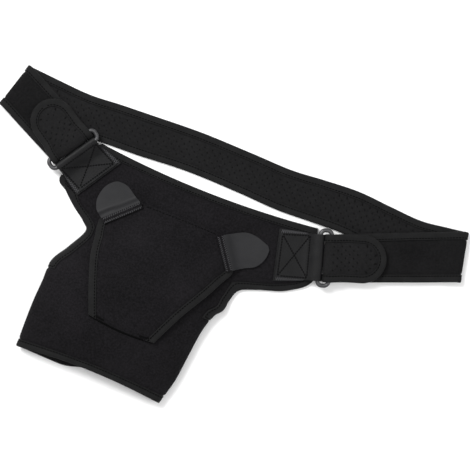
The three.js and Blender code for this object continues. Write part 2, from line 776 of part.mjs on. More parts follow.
// A closed oval ring of round bar.
function ringSolid(end) {
  const { centre, heading } = ringFrame(end);
  const across = heading.clone().cross(up);
  const halfWidth = barOffset;
  const halfLength = ringSlotLength / 2 + ringBar / 2;
  const sides = 8;
  const stepsPerCorner = 4;
  const rings = [];
  for (const [acrossSign, headingSign, startTurn] of [[1, 1, 0], [-1, 1, 90], [-1, -1, 180], [1, -1, 270]]) {
    for (let step = 0; step <= stepsPerCorner; step += 1) {
      const angle = THREE.MathUtils.degToRad(startTurn + 90 * step / stepsPerCorner);
      const out = along(new THREE.Vector3(), [across, Math.cos(angle)], [heading, Math.sin(angle)]);
      const cornerRadius = halfWidth * 0.8;
      const middle = along(
        centre,
        [across, acrossSign * (halfLength - cornerRadius)],
        [heading, headingSign * (halfWidth - cornerRadius)],
      );
      const at = along(middle, [out, cornerRadius]);
      rings.push({ at, out });
    }
  }
  const points = [];
  for (const { at, out } of rings) {
    for (let side = 0; side < sides; side += 1) {
      const angle = 2 * Math.PI * (side + 0.5) / sides;
      const radius = ringBar / 2;
      points.push(along(at, [out, radius * Math.cos(angle)], [up, radius * Math.sin(angle)]));
    }
  }
  const faces = [];
  for (let index = 0; index < rings.length; index += 1) {
    const next = (index + 1) % rings.length;
    for (let side = 0; side < sides; side += 1) {
      const other = (side + 1) % sides;
      faces.push(...quad(
        index * sides + side,
        next * sides + side,
        next * sides + other,
        index * sides + other,
      ));
    }
  }
  return { points, faces };
}

function buildBody(pieces) {
  const sleeve = sleeveSheet();
  const solids = {
    sleeve_body: thicken(sleeve),
    cuff_binding: foldTape(sleeve, "cuff", "cuffRim"),
    neck_binding: foldTape(sleeve, "neck", "neckRim"),
    armpit_binding: foldTape(sleeve, "armpit", "armpitRim"),
  };
  pieces.push(piece("sleeve_body", "neoprene", solids.sleeve_body));
  pieces.push(piece("cuff_binding", "tape", solids.cuff_binding));
  pieces.push(piece("neck_binding", "tape", solids.neck_binding));
  pieces.push(piece("armpit_binding", "tape", solids.armpit_binding));
  return Object.values(solids);
}

function buildFlap(pieces, under) {
  const flap = flapSheet(under);
  const flapSolids = [thicken(flap), foldTape(flap, "rear", "rearRim"), foldTape(flap, "front", "frontRim")];
  pieces.push(piece("compression_flap", "neoprene", flapSolids[0]));
  pieces.push(piece("flap_binding_rear", "tape", flapSolids[1]));
  pieces.push(piece("flap_binding_front", "tape", flapSolids[2]));
  const all = [...under, ...flapSolids];
  const rowEnd = (side, row) => spot(flapRows[row][`${side}X`], flapRows[row][`${side}Y`]);
  const seamOf = (side) => {
    const [from, to] = [rowEnd(side, flapBoundRow), rowEnd(side, flapRows.length - 1)];
    const way = to.clone().sub(from);
    const degrees = THREE.MathUtils.radToDeg(Math.atan2(way.y, way.x));
    return { middle: from.add(to).multiplyScalar(0.5), degrees };
  };
  const upper = seamOf("left");
  const side = seamOf("right");
  pieces.push(piece("upper_tab", "tab_cloth", thicken(
    tabSheet(upperTabOutline, upper.middle, upper.degrees + 90, upperTabDepth, upperTabWidth, all),
  )));
  pieces.push(piece("side_tab", "tab_cloth", thicken(
    tabSheet(sideTabOutline, side.middle, side.degrees - 90, sideTabDepth, sideTabWidth, all),
  )));
}

function buildStrap(pieces, under) {
  const strap = strapSheet();
  pieces.push(piece("strap", "strap_neoprene", thicken(strap)));
  pieces.push(piece("strap_binding", "tape", foldTape(strap, "strap", "strapRim")));
  for (const [name, end] of Object.entries(strapEnds)) {
    pieces.push(piece(`ring_${name}`, "ring_plastic", ringSolid(end)));
    pieces.push(piece(`anchor_${name}`, "leather_loop", thicken(anchorSheet(end, under))));
    pieces.push(piece(`hook_pad_${name}`, "tab_cloth", thicken(padSheet(end))));
  }
}

// The origin lies under the middle of the whole outline, on the surface that the brace rests on.
function centreOnFloor(group) {
  const box = new THREE.Box3().setFromObject(group);
  const middle = box.getCenter(new THREE.Vector3());
  for (const mesh of group.children) {
    mesh.geometry.translate(-middle.x, -middle.y, -box.min.z);
  }
}

function buildBrace() {
  const pieces = [];
  const body = buildBody(pieces);
  buildFlap(pieces, body);
  buildStrap(pieces, body);
  const group = new THREE.Group();
  group.name = "shoulder_brace";
  group.add(...pieces);
  centreOnFloor(group);
  return group;
}

export default buildBrace();
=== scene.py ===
"""A black neoprene shoulder brace, lying flat and seen from straight above.

Lengths are millimetres until a mesh is made. Tables hold places as shares of the brace's
outline, measured from its lower left corner, as the CAD part does.
"""

import math

import bpy
import numpy as np
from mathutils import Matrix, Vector
from mathutils.bvhtree import BVHTree


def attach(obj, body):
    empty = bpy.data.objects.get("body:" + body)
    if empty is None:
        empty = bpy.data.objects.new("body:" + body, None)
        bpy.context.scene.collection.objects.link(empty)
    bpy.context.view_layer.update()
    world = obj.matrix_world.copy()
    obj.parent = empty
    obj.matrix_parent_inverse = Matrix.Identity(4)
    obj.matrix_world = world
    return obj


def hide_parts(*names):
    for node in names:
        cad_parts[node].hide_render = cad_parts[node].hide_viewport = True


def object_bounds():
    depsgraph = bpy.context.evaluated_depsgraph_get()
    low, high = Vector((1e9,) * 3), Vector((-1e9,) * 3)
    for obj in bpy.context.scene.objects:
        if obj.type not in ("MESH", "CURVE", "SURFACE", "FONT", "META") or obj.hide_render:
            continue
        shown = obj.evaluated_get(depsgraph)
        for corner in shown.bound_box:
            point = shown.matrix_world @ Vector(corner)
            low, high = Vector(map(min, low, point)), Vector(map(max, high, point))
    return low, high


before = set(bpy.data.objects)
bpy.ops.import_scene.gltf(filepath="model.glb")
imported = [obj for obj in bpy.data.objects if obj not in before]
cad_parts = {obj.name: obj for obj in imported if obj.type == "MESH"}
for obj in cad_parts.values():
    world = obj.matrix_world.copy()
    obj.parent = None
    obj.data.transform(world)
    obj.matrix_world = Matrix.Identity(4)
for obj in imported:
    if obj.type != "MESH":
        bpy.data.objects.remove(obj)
CAD_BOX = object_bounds()

METRE = 0.001

# The outline that the shares in the tables are measured in.
BRACE_LENGTH = 486
BRACE_WIDTH = 351

# Neoprene walls, and the wall inside a bound edge.
SLEEVE_WALL = 3.2
FLAP_WALL = 2.6
STRAP_WALL = 2.6
PRESSED_WALL = 1
PRESS_RAMP = 3

# The folded tape on every bound edge, and where its stitches run.
TAPE_WIDTH = 7
TAPE_WALL = 1
CLEARANCE = 0.3
BOUND_HALF = PRESSED_WALL / 2 + CLEARANCE + TAPE_WALL
TAPE_REACH = CLEARANCE + TAPE_WALL
STITCH_INSET = 0.74
TAPE_STEPS = (0, 0.2, 0.48, STITCH_INSET, 0.92, 1)
RIM_TURNS = (60, 30, 0, -30, -60)

# The tape's thickness as shares of its wall: full, less in the groove that its stitches press,
# and less at its inner end.
TAPE_FULL = 1.08
GROOVE_DEPTH = 0.45
GROOVE_WIDTH = 0.07
TAPE_END_DROP = 0.65
TAPE_END_SHARE = 0.1

# Threads: the stitches on the tapes, on the leather loops and in the seams. Each is a short
# closed rod with thin ends, and its middle lies at a rise above the surface that it is sewn into.
THREAD_RADIUS = 0.48
THREAD_SIDES = 6
THREAD_RINGS = ((0, 0.4), (0.2, 1), (0.8, 1), (1, 0.4))
TAB_THREAD_RADIUS = 0.24
BOX_THREAD_RADIUS = 0.72
MARGIN_THREAD_RADIUS = 0.3
SUNK_RISE = THREAD_RADIUS * 0.2
TAPE_RISE = THREAD_RADIUS * 0.3
SEAM_RISE = THREAD_RADIUS * 0.4
HIGH_RISE = THREAD_RADIUS * 0.6
STITCH_PITCH = 3.2
STITCH_LENGTH = 2.3
SEAM_PITCH = 2.1
SEAM_WIDTH = 2
SPOT_SPACING = 1.5
SEAM_DROP = 1.6
SEAM_BAR_INSET = 1.4
SEAM_BAR_WIDTH = 1.9
BOX_INSET = 2.2
BOX_PITCH = 2.8
# Painted shade: the inset of the dark row of stitches that draws the shade along the flap's upper edge.
EDGE_SHADE_INSET = 3.5
TAB_STITCH_SHARE = 0.97
UPPER_STITCH_INSET = 0.6
LOWER_STITCH_SHARE = 0.85

# The strap's small holes, in a staggered pattern on one face, and how close its rows of points lie.
HOLE_PITCH = 8.5
HOLE_DEPTH = 0.9
HOLE_PLACES = np.arange(-3, 4) * HOLE_PITCH
STRAP_STEP = 1.06

# Soft folds that all layers share: their depth, the heights between which they grow, and the
# waves that they are made of, each with its share, lengths along x and y, and phase.
FOLD_DEPTH = 0.9
FOLD_START = 3
FOLD_FULL = 16
WRINKLES = (
    (0.36, 19, 31, 0.4),
    (0.3, 12.5, -15, 1.3),
    (0.22, 27, 8.2, 2.1),
    (0.08, 4.6, 5.7, 0),
)

# How many steps each sheet has across it, and along a loop's leaf, and the degrees between the
# rows of the strap's rounded tips.
SLEEVE_COLUMNS = 22
FLAP_COLUMNS = 16
TAB_COLUMNS = 14
STRAP_HALF_COLUMNS = 10
TIP_TURN = 6
ANCHOR_COLUMNS = 12
ANCHOR_ROWS = 18

# The angles of a half turn round a bar or a fold, from above it to below it.
HALF_TURN = [math.radians(turn) for turn in range(90, -91, -15)]

# Cloth is laid by rays that start above everything. Edges sharper than this stay sharp.
RAY_START = 200
SHARP_ANGLE = 48

# The arm tube: its height, how far in from its side folds the under layer lies flat, and the
# shape of its round top.
SLEEVE_HEIGHT = 25
UNDER_FOLD_REACH = 13
CROWN_POWER = 2.4
CROWN_ROUNDNESS = 0.62

# How finely a row number is searched.
ROW_STEP = 0.002

# The cuff's under layer peeks out past the top one: how far, as a share of the cuff's bow, and
# where along the cuff it is hidden again.
UNDER_PEEK = 0.25
PEEK_START = 0.3
PEEK_FADE = 0.2

# The chest strap and its ends.
STRAP_WIDTH = 48
FOLD_RADIUS = 3.3
STRAP_WRAP_SLACK = 0.9
STRAP_BELLY = 0.5
ANCHOR_WRAP_SLACK = 0.45
FOLD_EASE = 24
RING_EASE = 16
CROSSING_STEP = 2.5

# The rings, the loops on the wings, and the tabs.
RING_BAR = 4.4
RING_SLOT_WIDTH = 7
RING_SIDE_ROOM = 1.3
RING_SIDES = 20
ANCHOR_WALL = 1.5
ANCHOR_WIDTH = 48.5
LOWER_LEAF_MARGIN = 3.5
LOWER_LEAF_REACH = 1.5
TAB_WALL = 1.6
TAB_LAP = 6.5
LAY_GAP = 0.5

# The pads that hold the strap's ends down.
PAD_WALL = 1.2
PAD_WIDTH = 30
PAD_LENGTH = 20
PAD_START = 21
PAD_CORNER = 4

# The studio, in metres and watts: each light's name, place, size and power.
LIGHTS = (
    ("key", (-0.9, 1.0, 1.6), 0.9, 38),
    ("fill", (1.2, -0.4, 1.5), 1.2, 10),
    ("overhead", (0, 0, 2.6), 1.6, 10),
)
WORLD_STRENGTH = 0.56
FLOOR_REACH = 3.0
FLOOR_DROP = 0.0004

# The camera looks straight down, and the brace, whose outline lies at the edge's height, is this
# many pixels wide in a frame of that many.
CAMERA_DISTANCE = 2.4
CAMERA_ASIDE = np.array([0.001, -0.0012])
EDGE_HEIGHT = 0.005
BRACE_PIXELS = 469.5
FRAME_PIXELS = 470
SENSOR_WIDTH = 36


def table(columns, *rows):
    """A table with named columns."""
    return {name: np.array([row[index] for row in rows], dtype=float)
            for index, name in enumerate(columns.split())}


# The sleeve's rows from the cuff to the neck: both ends, how far the row bows toward the cuff,
# the heights of its crown and its edges, and how round its top is.
SLEEVE_ROWS = table(
    "left_x left_y right_x right_y bow crown edge dome",
    (0.036, 0.172, 0.335, 0.006, -0.0155, 0.78, 0.26, 1),
    (0.053, 0.236, 0.368, 0.068, -0.006, 0.90, 0.26, 1),
    (0.071, 0.300, 0.397, 0.143, 0, 1.00, 0.26, 1),
    (0.091, 0.361, 0.425, 0.214, 0, 1.00, 0.26, 1),
    (0.110, 0.420, 0.451, 0.260, 0, 0.96, 0.25, 1),
    (0.145, 0.459, 0.472, 0.278, 0, 0.90, 0.17, 1),
    (0.183, 0.507, 0.485, 0.308, 0, 0.80, 0.09, 0.8),
    (0.177, 0.541, 0.507, 0.337, 0, 0.66, 0.03, 0.5),
    (0.157, 0.583, 0.550, 0.338, 0, 0.50, 0, 0.15),
    (0.140, 0.629, 0.612, 0.336, 0, 0.30, 0, 0),
    (0.130, 0.675, 0.668, 0.372, 0.004, 0.12, 0, 0),
    (0.213, 0.765, 0.676, 0.513, 0.0205, 0, 0, 0),
)
CUFF_ROW = 0
ARMPIT_ROW = 4
WING_ROW = 10
NECK_ROW = 11

# The flap's rows, from the seam that holds it to its free upper edge. Its taped sides end at the
# bound row, and the seam's stitches run on a row of their own, with a bar between these places.
FLAP_ROWS = table(
    "left_x left_y right_x right_y bow",
    (0.192, 0.263, 0.325, 0.182, 0.008),
    (0.192, 0.349, 0.382, 0.257, 0.003),
    (0.195, 0.438, 0.433, 0.314, 0),
    (0.204, 0.494, 0.469, 0.358, 0),
    (0.215, 0.546, 0.493, 0.392, 0),
    (0.256, 0.571, 0.483, 0.447, 0),
    (0.298, 0.594, 0.474, 0.497, -0.003),
)
FLAP_BOUND_ROW = 4
FLAP_TOP_ROW = 6
SEWN_ROWS = 0.2
SEAM_ROW = 0.03
SEAM_PLACES = 60
SEAM_BARS = ((3, 12), (-13, -4))

# Tab outlines from seam to tip: shares of the tab's depth and of half its width.
UPPER_TAB = {
    "depth": 30.3,
    "width": 43,
    "outline": table(
        "depth left right",
        (0, -1, 1),
        (0.2, -1.07, 0.9),
        (0.4, -1.07, 0.84),
        (0.7, -0.85, 0.72),
        (0.93, -0.4, 0.44),
        (1, -0.05, 0.2),
    ),
}
SIDE_TAB = {
    "depth": 42.5,
    "width": 38,
    "outline": table(
        "depth left right",
        (0, -1, 1),
        (0.3, -0.93, 1.04),
        (0.55, -0.83, 1.12),
        (0.75, -0.54, 0.98),
        (0.9, -0.14, 0.73),
        (1, 0.18, 0.42),
    ),
}

# The strap's long run between its folds: centre, direction across it, share of the width.
LONG_RUN = table(
    "x y across spread",
    (0.107, 0.893, 62, 0.96),
    (0.174, 0.854, 68, 0.91),
    (0.243, 0.823, 71, 0.91),
    (0.305, 0.793, 71, 0.92),
    (0.412, 0.743, 69, 0.90),
    (0.517, 0.683, 68, 0.90),
    (0.603, 0.631, 69, 0.92),
    (0.675, 0.598, 70, 0.95),
    (0.746, 0.564, 67, 0.97),
    (0.812, 0.518, 65, 1.00),
    (0.878, 0.473, 69, 1.04),
    (0.938, 0.448, 75, 1.08),
)

# The strap's two ends, with the ring, the fold and the loop of each. Places are shares, lengths
# are millimetres, headings and leans are degrees, and spreads are shares of the strap's width.
LEFT_END = {
    "name": "left", "turn": 1, "ring": (0.154, 0.750), "heading": 125.5,
    "fold": (0.027, 0.9435), "fold_across": 52, "run_across": 40.5, "end_across": 35.5,
    "end_spread": 1.05, "tip_spread": 0.97, "fold_spread": 1.07, "length": 53.5,
    "anchor_length": 33.5, "anchor_lean": 6.5, "far_turn": 1, "far_width": 1,
    "tip_aside": 0, "box": (3.5, 31), "margins": ((-1, 10, 33), (1, 10, 33)),
}
RIGHT_END = {
    "name": "right", "turn": -1, "ring": (0.690, 0.429), "heading": -4.5,
    "fold": (0.990, 0.430), "fold_across": 80.8, "run_across": 93, "end_across": 86.6,
    "end_spread": 1.04, "tip_spread": 1.04, "fold_spread": 1.11, "length": 58.5,
    "anchor_length": 43, "anchor_lean": 0.5, "far_turn": -3, "far_width": 0.98,
    "tip_aside": 1.2, "box": (11, 40.5), "margins": ((-1, 14, 42), (1, 14, 42)),
}

# Levels of the strap's layers and of the rings.
RUN_LEVEL = BOUND_HALF
CROSS_LEVEL = 3 * BOUND_HALF + CLEARANCE
STRAP_WRAP_RADIUS = RING_BAR / 2 + CLEARANCE + BOUND_HALF
ANCHOR_WRAP_RADIUS = RING_BAR / 2 + CLEARANCE + ANCHOR_WALL / 2
RING_LEVEL = CROSS_LEVEL + STRAP_WRAP_RADIUS
PAD_LEVEL = CROSS_LEVEL + BOUND_HALF + CLEARANCE + PAD_WALL / 2
END_LEVEL = PAD_LEVEL + PAD_WALL / 2 + CLEARANCE + BOUND_HALF
BAR_OFFSET = (RING_SLOT_WIDTH + RING_BAR) / 2
RING_SLOT_LENGTH = STRAP_WIDTH * max(LEFT_END["end_spread"], RIGHT_END["end_spread"]) + 2 * RING_SIDE_ROOM

UP = np.array([0.0, 0.0, 1.0])


def spot(share_x, share_y, height=0.0):
    return np.array([share_x * BRACE_LENGTH, share_y * BRACE_WIDTH, height])


def direction(degrees):
    angle = math.radians(degrees)
    return np.array([math.cos(angle), math.sin(angle), 0.0])


def at_height(place, height):
    return np.array([place[0], place[1], height])


def blend(start, end, part):
    return start + (end - start) * part


def ease(part):
    held = min(max(part, 0.0), 1.0)
    return held * held * (3 - 2 * held)


def unit(vector):
    return vector / max(np.linalg.norm(vector), 1e-12)


def column(rows, name, at):
    """A smooth curve through one column, at a row number that may lie between two rows."""
    values = rows[name]
    last = len(values) - 1
    start = min(int(math.floor(at)), last - 1)
    part = at - start
    before, here, after, beyond = (values[min(max(start + step, 0), last)] for step in (-1, 0, 1, 2))
    bend = 2 * before - 5 * here + 4 * after - beyond + part * (3 * (here - after) + beyond - before)
    return here + 0.5 * part * (after - before + part * bend)


def tape_marks(name, at_rim):
    """The marks of a point inside a tape, or on the rim that the tape is folded over."""
    return [name, f"{name}_rim"] if at_rim else [name]


class Corner:
    """A point of a sheet: its place, half of the wall there, and how far it lies in the tape."""

    def __init__(self, at, half, inset=None, marks=()):
        self.at = at
        self.half = half
        self.inset = inset
        self.marks = marks


def marked(sheet, mark):
    """The indices of a sheet's points with a mark."""
    return {index for index, marks in enumerate(sheet.marks) if mark in marks}


class Sheet:
    """A sheet of cloth without thickness, welded from grids of corners."""

    def __init__(self, *grids):
        self.points, self.halves, self.insets, self.marks, self.faces = [], [], [], [], []
        known = {}
        for rows, flipped in grids:
            indices = [[self.index_of(corner, known) for corner in row] for row in rows]
            for low, high in zip(indices, indices[1:]):
                for col in range(len(low) - 1):
                    self.add_face([low[col], low[col + 1], high[col + 1], high[col]], flipped)
        self.points = np.array(self.points)
        self.halves = np.array(self.halves)
        self.normals = self.find_normals()
        self.edges = open_edges(self.faces)

    def index_of(self, corner, known):
        key = tuple(np.round(corner.at, 4))
        if key not in known:
            known[key] = len(self.points)
            self.points.append(corner.at)
            self.halves.append(corner.half)
            self.insets.append(corner.inset)
            self.marks.append(set())
        index = known[key]
        self.marks[index].update(corner.marks)
        return index

    def add_face(self, face, flipped):
        kept = [index for place, index in enumerate(face) if index != face[place - 1]]
        if len(set(kept)) >= 3:
            self.faces.append(kept[::-1] if flipped else kept)

    def find_normals(self):
        normals = np.zeros_like(self.points)
        for face in self.faces:
            if len(face) == 4:
                a, b, c, d = self.points[face]
                normal = np.cross(c - a, d - b)
            else:
                a, b, c = self.points[face]
                normal = np.cross(b - a, c - a)
            normals[face] += normal
        return normals / np.maximum(np.linalg.norm(normals, axis=1, keepdims=True), 1e-12)


def edges_of(face):
    return zip(face, face[1:] + face[:1])


def open_edges(faces):
    """The edges that only one face has, in the order of the faces."""
    edges = dict.fromkeys(edge for face in faces for edge in edges_of(face))
    return [edge for edge in edges if edge[::-1] not in edges]


def thicken(sheet):
    """The sheet moved half its wall to both sides and closed at its edges."""
    count = len(sheet.points)
    shift = sheet.normals * sheet.halves[:, None]
    over, under = sheet.points + shift, sheet.points - shift
    for index in marked(sheet, "hole"):
        over[index] -= sheet.normals[index] * HOLE_DEPTH
    points = np.concatenate([over, under])
    faces = []
    for face in sheet.faces:
        faces.append(list(face))
        faces.append([index + count for index in reversed(face)])
    for start, end in sheet.edges:
        faces.append([start + count, end + count, end, start])
    return points, faces


def rim_directions(sheet, rim):
    outward = {}
    for start, end in rim:
        edge = unit(sheet.points[end] - sheet.points[start])
        for index in (start, end):
            side = unit(np.cross(edge, sheet.normals[index]))
            outward[index] = outward.get(index, np.zeros(3)) + side
    return {index: unit(side) for index, side in outward.items()}


def tape_swell(inset):
    """The tape's thickness as a share of its wall: pressed at its stitches and thin at its end."""
    if inset is None:
        return 1.0
    groove = GROOVE_DEPTH * math.exp(-((inset - STITCH_INSET) / GROOVE_WIDTH) ** 2)
    tail = TAPE_END_DROP * ease((inset - 1 + TAPE_END_SHARE) / TAPE_END_SHARE)
    return TAPE_FULL - groove - tail


def fold_tape(sheet, mark):
    """Tape folded over the open edges on a mark's rim, with a round outer edge."""
    strip = [face for face in sheet.faces if all(mark in sheet.marks[index] for index in face)]
    open_set = set(sheet.edges)
    strip_edges = open_edges(strip)

    def is_rim(edge):
        return edge in open_set and all(f"{mark}_rim" in sheet.marks[index] for index in edge)

    outward = rim_directions(sheet, [edge for edge in strip_edges if is_rim(edge)])
    points, faces, places = [], [], {}

    def place_of(index):
        if index not in places:
            out = outward.get(index, np.zeros(3))
            normal, point = sheet.normals[index], sheet.points[index]
            inner = sheet.halves[index] + CLEARANCE
            outer = inner + TAPE_WALL * tape_swell(sheet.insets[index])
            first = len(points)
            for offset in (outer, inner, -inner, -outer):
                points.append(point + out * CLEARANCE + normal * offset)
            for turn in RIM_TURNS if index in outward else ():
                angle = math.radians(turn)
                reach = CLEARANCE + TAPE_WALL * math.cos(angle)
                points.append(point + out * reach + normal * outer * math.sin(angle))
            places[index] = first
        return places[index]

    top, top_in, low_in, low, rim = range(5)
    for face in strip:
        base = [place_of(index) for index in face]
        faces.append([first + top for first in base])
        faces.append([first + top_in for first in reversed(base)])
        faces.append([first + low_in for first in base])
        faces.append([first + low for first in reversed(base)])
    starts, ends = set(), set()
    for edge in strip_edges:
        a, b = place_of(edge[0]), place_of(edge[1])
        if is_rim(edge):
            steps = [low, *(rim + len(RIM_TURNS) - 1 - step for step in range(len(RIM_TURNS))), top]
            for lower, higher in zip(steps, steps[1:]):
                faces.append([a + lower, b + lower, b + higher, a + higher])
            faces.append([a + top_in, b + top_in, b + low_in, a + low_in])
            starts.add(edge[0])
            ends.add(edge[1])
        else:
            faces.append([a + top_in, b + top_in, b + top, a + top])
            faces.append([a + low, b + low, b + low_in, a + low_in])
    for index in starts ^ ends:
        first = place_of(index)
        cap = [first + top_in, first + low_in, first + low,
               *(first + rim + len(RIM_TURNS) - 1 - step for step in range(len(RIM_TURNS))), first + top]
        faces.append(cap if index in starts else cap[::-1])
    return np.array(points), faces


# Threads

def stitch_lines(sheet, mark):
    """Lines of point numbers along a tape, where its stitches run."""
    on_line = {index for index in marked(sheet, mark) if sheet.insets[index] == STITCH_INSET}
    near = {index: set() for index in on_line}
    for face in sheet.faces:
        for start, end in edges_of(face):
            if start in on_line and end in on_line:
                near[start].add(end)
                near[end].add(start)
    lines = []
    left = set(on_line)
    while left:
        ends = [index for index in left if len(near[index] & left) <= 1]
        index = min(ends or left)
        line = []
        while index is not None:
            line.append(index)
            left.discard(index)
            others = near[index] & left
            index = min(others) if others else None
        if len(line) > 2:
            lines.append(line)
    return lines


def even_stitches(points, normals, pitch, length):
    """Stitches of one length at an even pitch along a line of points."""
    steps = np.linalg.norm(np.diff(points, axis=0), axis=1)
    reach = np.concatenate([[0], np.cumsum(steps)])

    def at(distance, values):
        return np.array([np.interp(distance, reach, values[:, axis]) for axis in range(3)])

    segments = []
    for index in range(int(reach[-1] // pitch)):
        start = index * pitch + (pitch - length) / 2
        middle = start + length / 2
        segments.append((at(start, points), at(start + length, points), at(middle, normals)))
    return segments


def tape_stitches(sheet, *marks):
    """Stitches on a sheet's tapes, a little sunk into them."""
    segments = []
    rise = CLEARANCE + TAPE_WALL * tape_swell(STITCH_INSET) + TAPE_RISE
    for mark in marks:
        for line in stitch_lines(sheet, mark):
            for sign in (1, -1):
                normals = sheet.normals[line] * sign
                points = sheet.points[line] + normals * (sheet.halves[line][:, None] + rise)
                segments += even_stitches(points, normals, STITCH_PITCH, STITCH_LENGTH)
    return segments


def stack_faces(first, rings, sides):
    """The faces round a closed stack of rings of points, which starts at a point number."""
    faces = []
    for low in range(first, first + (rings - 1) * sides, sides):
        for step in range(sides):
            other = (step + 1) % sides
            faces.append([low + step, low + other, low + sides + other, low + sides + step])
    last = first + (rings - 1) * sides
    faces.append([first + step for step in reversed(range(sides))])
    faces.append([last + step for step in range(sides)])
    return faces


def thread_mesh(segments, radius):
    """One short thread with thin ends for each pair of ends and the normal under it."""
    points, faces = [], []
    for start, end, normal in segments:
        axis = unit(end - start)
        upward = unit(normal - axis * np.dot(normal, axis))
        sideways = np.cross(upward, axis)
        faces += stack_faces(len(points), len(THREAD_RINGS), THREAD_SIDES)
        for part, share in THREAD_RINGS:
            for step in range(THREAD_SIDES):
                angle = 2 * math.pi * step / THREAD_SIDES
                out = sideways * math.cos(angle) + upward * math.sin(angle)
                points.append(blend(start, end, part) + out * radius * share)
    return np.array(points), faces


def look_down(tree, place):
    """Where a line straight down meets a tree's surface, and its normal there."""
    return tree.ray_cast(Vector((place[0], place[1], RAY_START)), Vector((0, 0, -1)))[:2]


def on_surface(tree, place, rise):
    """A place lifted from the surface under it, and the surface's upward normal there."""
    point, normal = look_down(tree, place)
    if point is None:
        return at_height(place, rise), UP
    normal = np.array(normal)
    normal = normal if normal[2] > 0 else -normal
    return np.array(point) + normal * rise, normal


def surface_stitches(tree, start, end, pitch, length):
    """A straight row of stitches that follows the surface under it."""
    count = max(int(np.linalg.norm(end - start) / SPOT_SPACING), 2)
    spots = [on_surface(tree, blend(start, end, step / count), SUNK_RISE) for step in range(count + 1)]
    points, normals = (np.array(column_of) for column_of in zip(*spots))
    return even_stitches(points, normals, pitch, length)


def zigzag(tree, first_line, second_line, rise):
    """Stitches that go to and fro between two lines of places on a surface."""
    places = [pair[index % 2] for index, pair in enumerate(zip(first_line, second_line))]
    spots = [on_surface(tree, place, rise) for place in places]
    return [(start, end, normal) for (start, normal), (end, _) in zip(spots, spots[1:])]


def ticks(tree, first_line, second_line, rise):
    """Short stitches across a seam, from one line of places to the other."""
    segments = []
    for near, far in zip(first_line, second_line):
        (start, normal), (end, _) = on_surface(tree, near, rise), on_surface(tree, far, rise)
        segments.append((start, end, normal))
    return segments


def lines_between(start, end, side, width, pitch):
    """Two parallel lines of places, a width apart, along a straight seam."""
    count = max(int(np.linalg.norm(end - start) / pitch), 2)
    first = [blend(start, end, step / count) for step in range(count + 1)]
    return first, [place + side * width for place in first]


# Making Blender objects

def shift_to_frame(bounds):
    """How far the tables' lower left corner lies from the frame's origin, in millimetres."""
    low, high = (np.array(corner) / METRE for corner in bounds)
    middle = (low + high) / 2
    return np.array([middle[0], middle[1], low[2]])


def wrinkled(points):
    """The points with low soft folds, which fade out toward the floor."""
    x, y, z = points.T
    folds = sum(share * np.sin(x / along_x + y / along_y + phase)
                for share, along_x, along_y, phase in WRINKLES)
    held = np.clip((z - FOLD_START) / (FOLD_FULL - FOLD_START), 0, 1)
    moved = points.copy()
    moved[:, 2] += folds * held * held * (3 - 2 * held) * FOLD_DEPTH
    return moved


class Maker:
    """Makes named pieces from millimetre meshes, each with a material and a body."""

    def __init__(self, offset):
        self.offset = offset

    def mesh(self, name, points, faces, material, slot, holes=(), second=None, on_second=()):
        """A piece; on_second says for each face whether it takes the second material."""
        mesh = bpy.data.meshes.new(name)
        mesh.from_pydata(((wrinkled(points) + self.offset) * METRE).tolist(), [], faces)
        mesh.materials.append(material)
        if second:
            mesh.materials.append(second)
            mesh.polygons.foreach_set("material_index", [int(chosen) for chosen in on_second])
        # The hole attribute marks where the strap's material paints shade inside its holes.
        if holes:
            values = np.zeros(len(points))
            values[list(holes)] = 1
            mesh.attributes.new("hole", "FLOAT", "POINT").data.foreach_set("value", values)
        mesh.polygons.foreach_set("use_smooth", [True] * len(mesh.polygons))
        mesh.set_sharp_from_angle(angle=math.radians(SHARP_ANGLE))
        mesh.update()
        piece = bpy.data.objects.new(name, mesh)
        bpy.context.scene.collection.objects.link(piece)
        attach(piece, "root")
        return piece


def tree_of(*meshes):
    """A search tree over millimetre meshes, for laying cloth on them."""
    points, faces = [], []
    for more_points, more_faces in meshes:
        first = len(points)
        points.extend(Vector(point) for point in more_points)
        faces.extend([index + first for index in face] for face in more_faces)
    return BVHTree.FromPolygons(points, faces)


def rest_height(tree, place, reach):
    """The highest point of what lies under and close around a place."""
    highest = 0.0
    samples = [place] + [place + direction(turn) * reach for turn in range(0, 360, 45)]
    for sample in samples:
        hit = look_down(tree, sample)[0]
        if hit is not None:
            highest = max(highest, hit.z)
    return highest


def lay_grid(tree, grid, gap, reach=2.5, rounds=6):
    """Heights for a grid of places laid on what is under them, smoothed but never lower."""
    rest = np.array([[rest_height(tree, place, reach) + gap for place in row] for row in grid])
    heights = rest.copy()
    for _ in range(rounds):
        padded = np.pad(heights, 1, mode="edge")
        mean = (padded[:-2, 1:-1] + padded[2:, 1:-1] + padded[1:-1, :-2] + padded[1:-1, 2:]) / 4
        heights = np.maximum(rest, mean)
    return heights


# The sleeve

def across_marks(length, left_tape, right_tape, steps):
    """Distances across a row with the tape share at each: edges, tape, ramp and even steps."""
    marks = [(left_tape * step, step) for step in TAPE_STEPS]
    left = left_tape + PRESS_RAMP
    right = length - right_tape - PRESS_RAMP
    marks += [(blend(left, right, step / steps), None) for step in range(steps + 1)]
    marks += [(length - right_tape * step, step) for step in reversed(TAPE_STEPS)]
    return marks


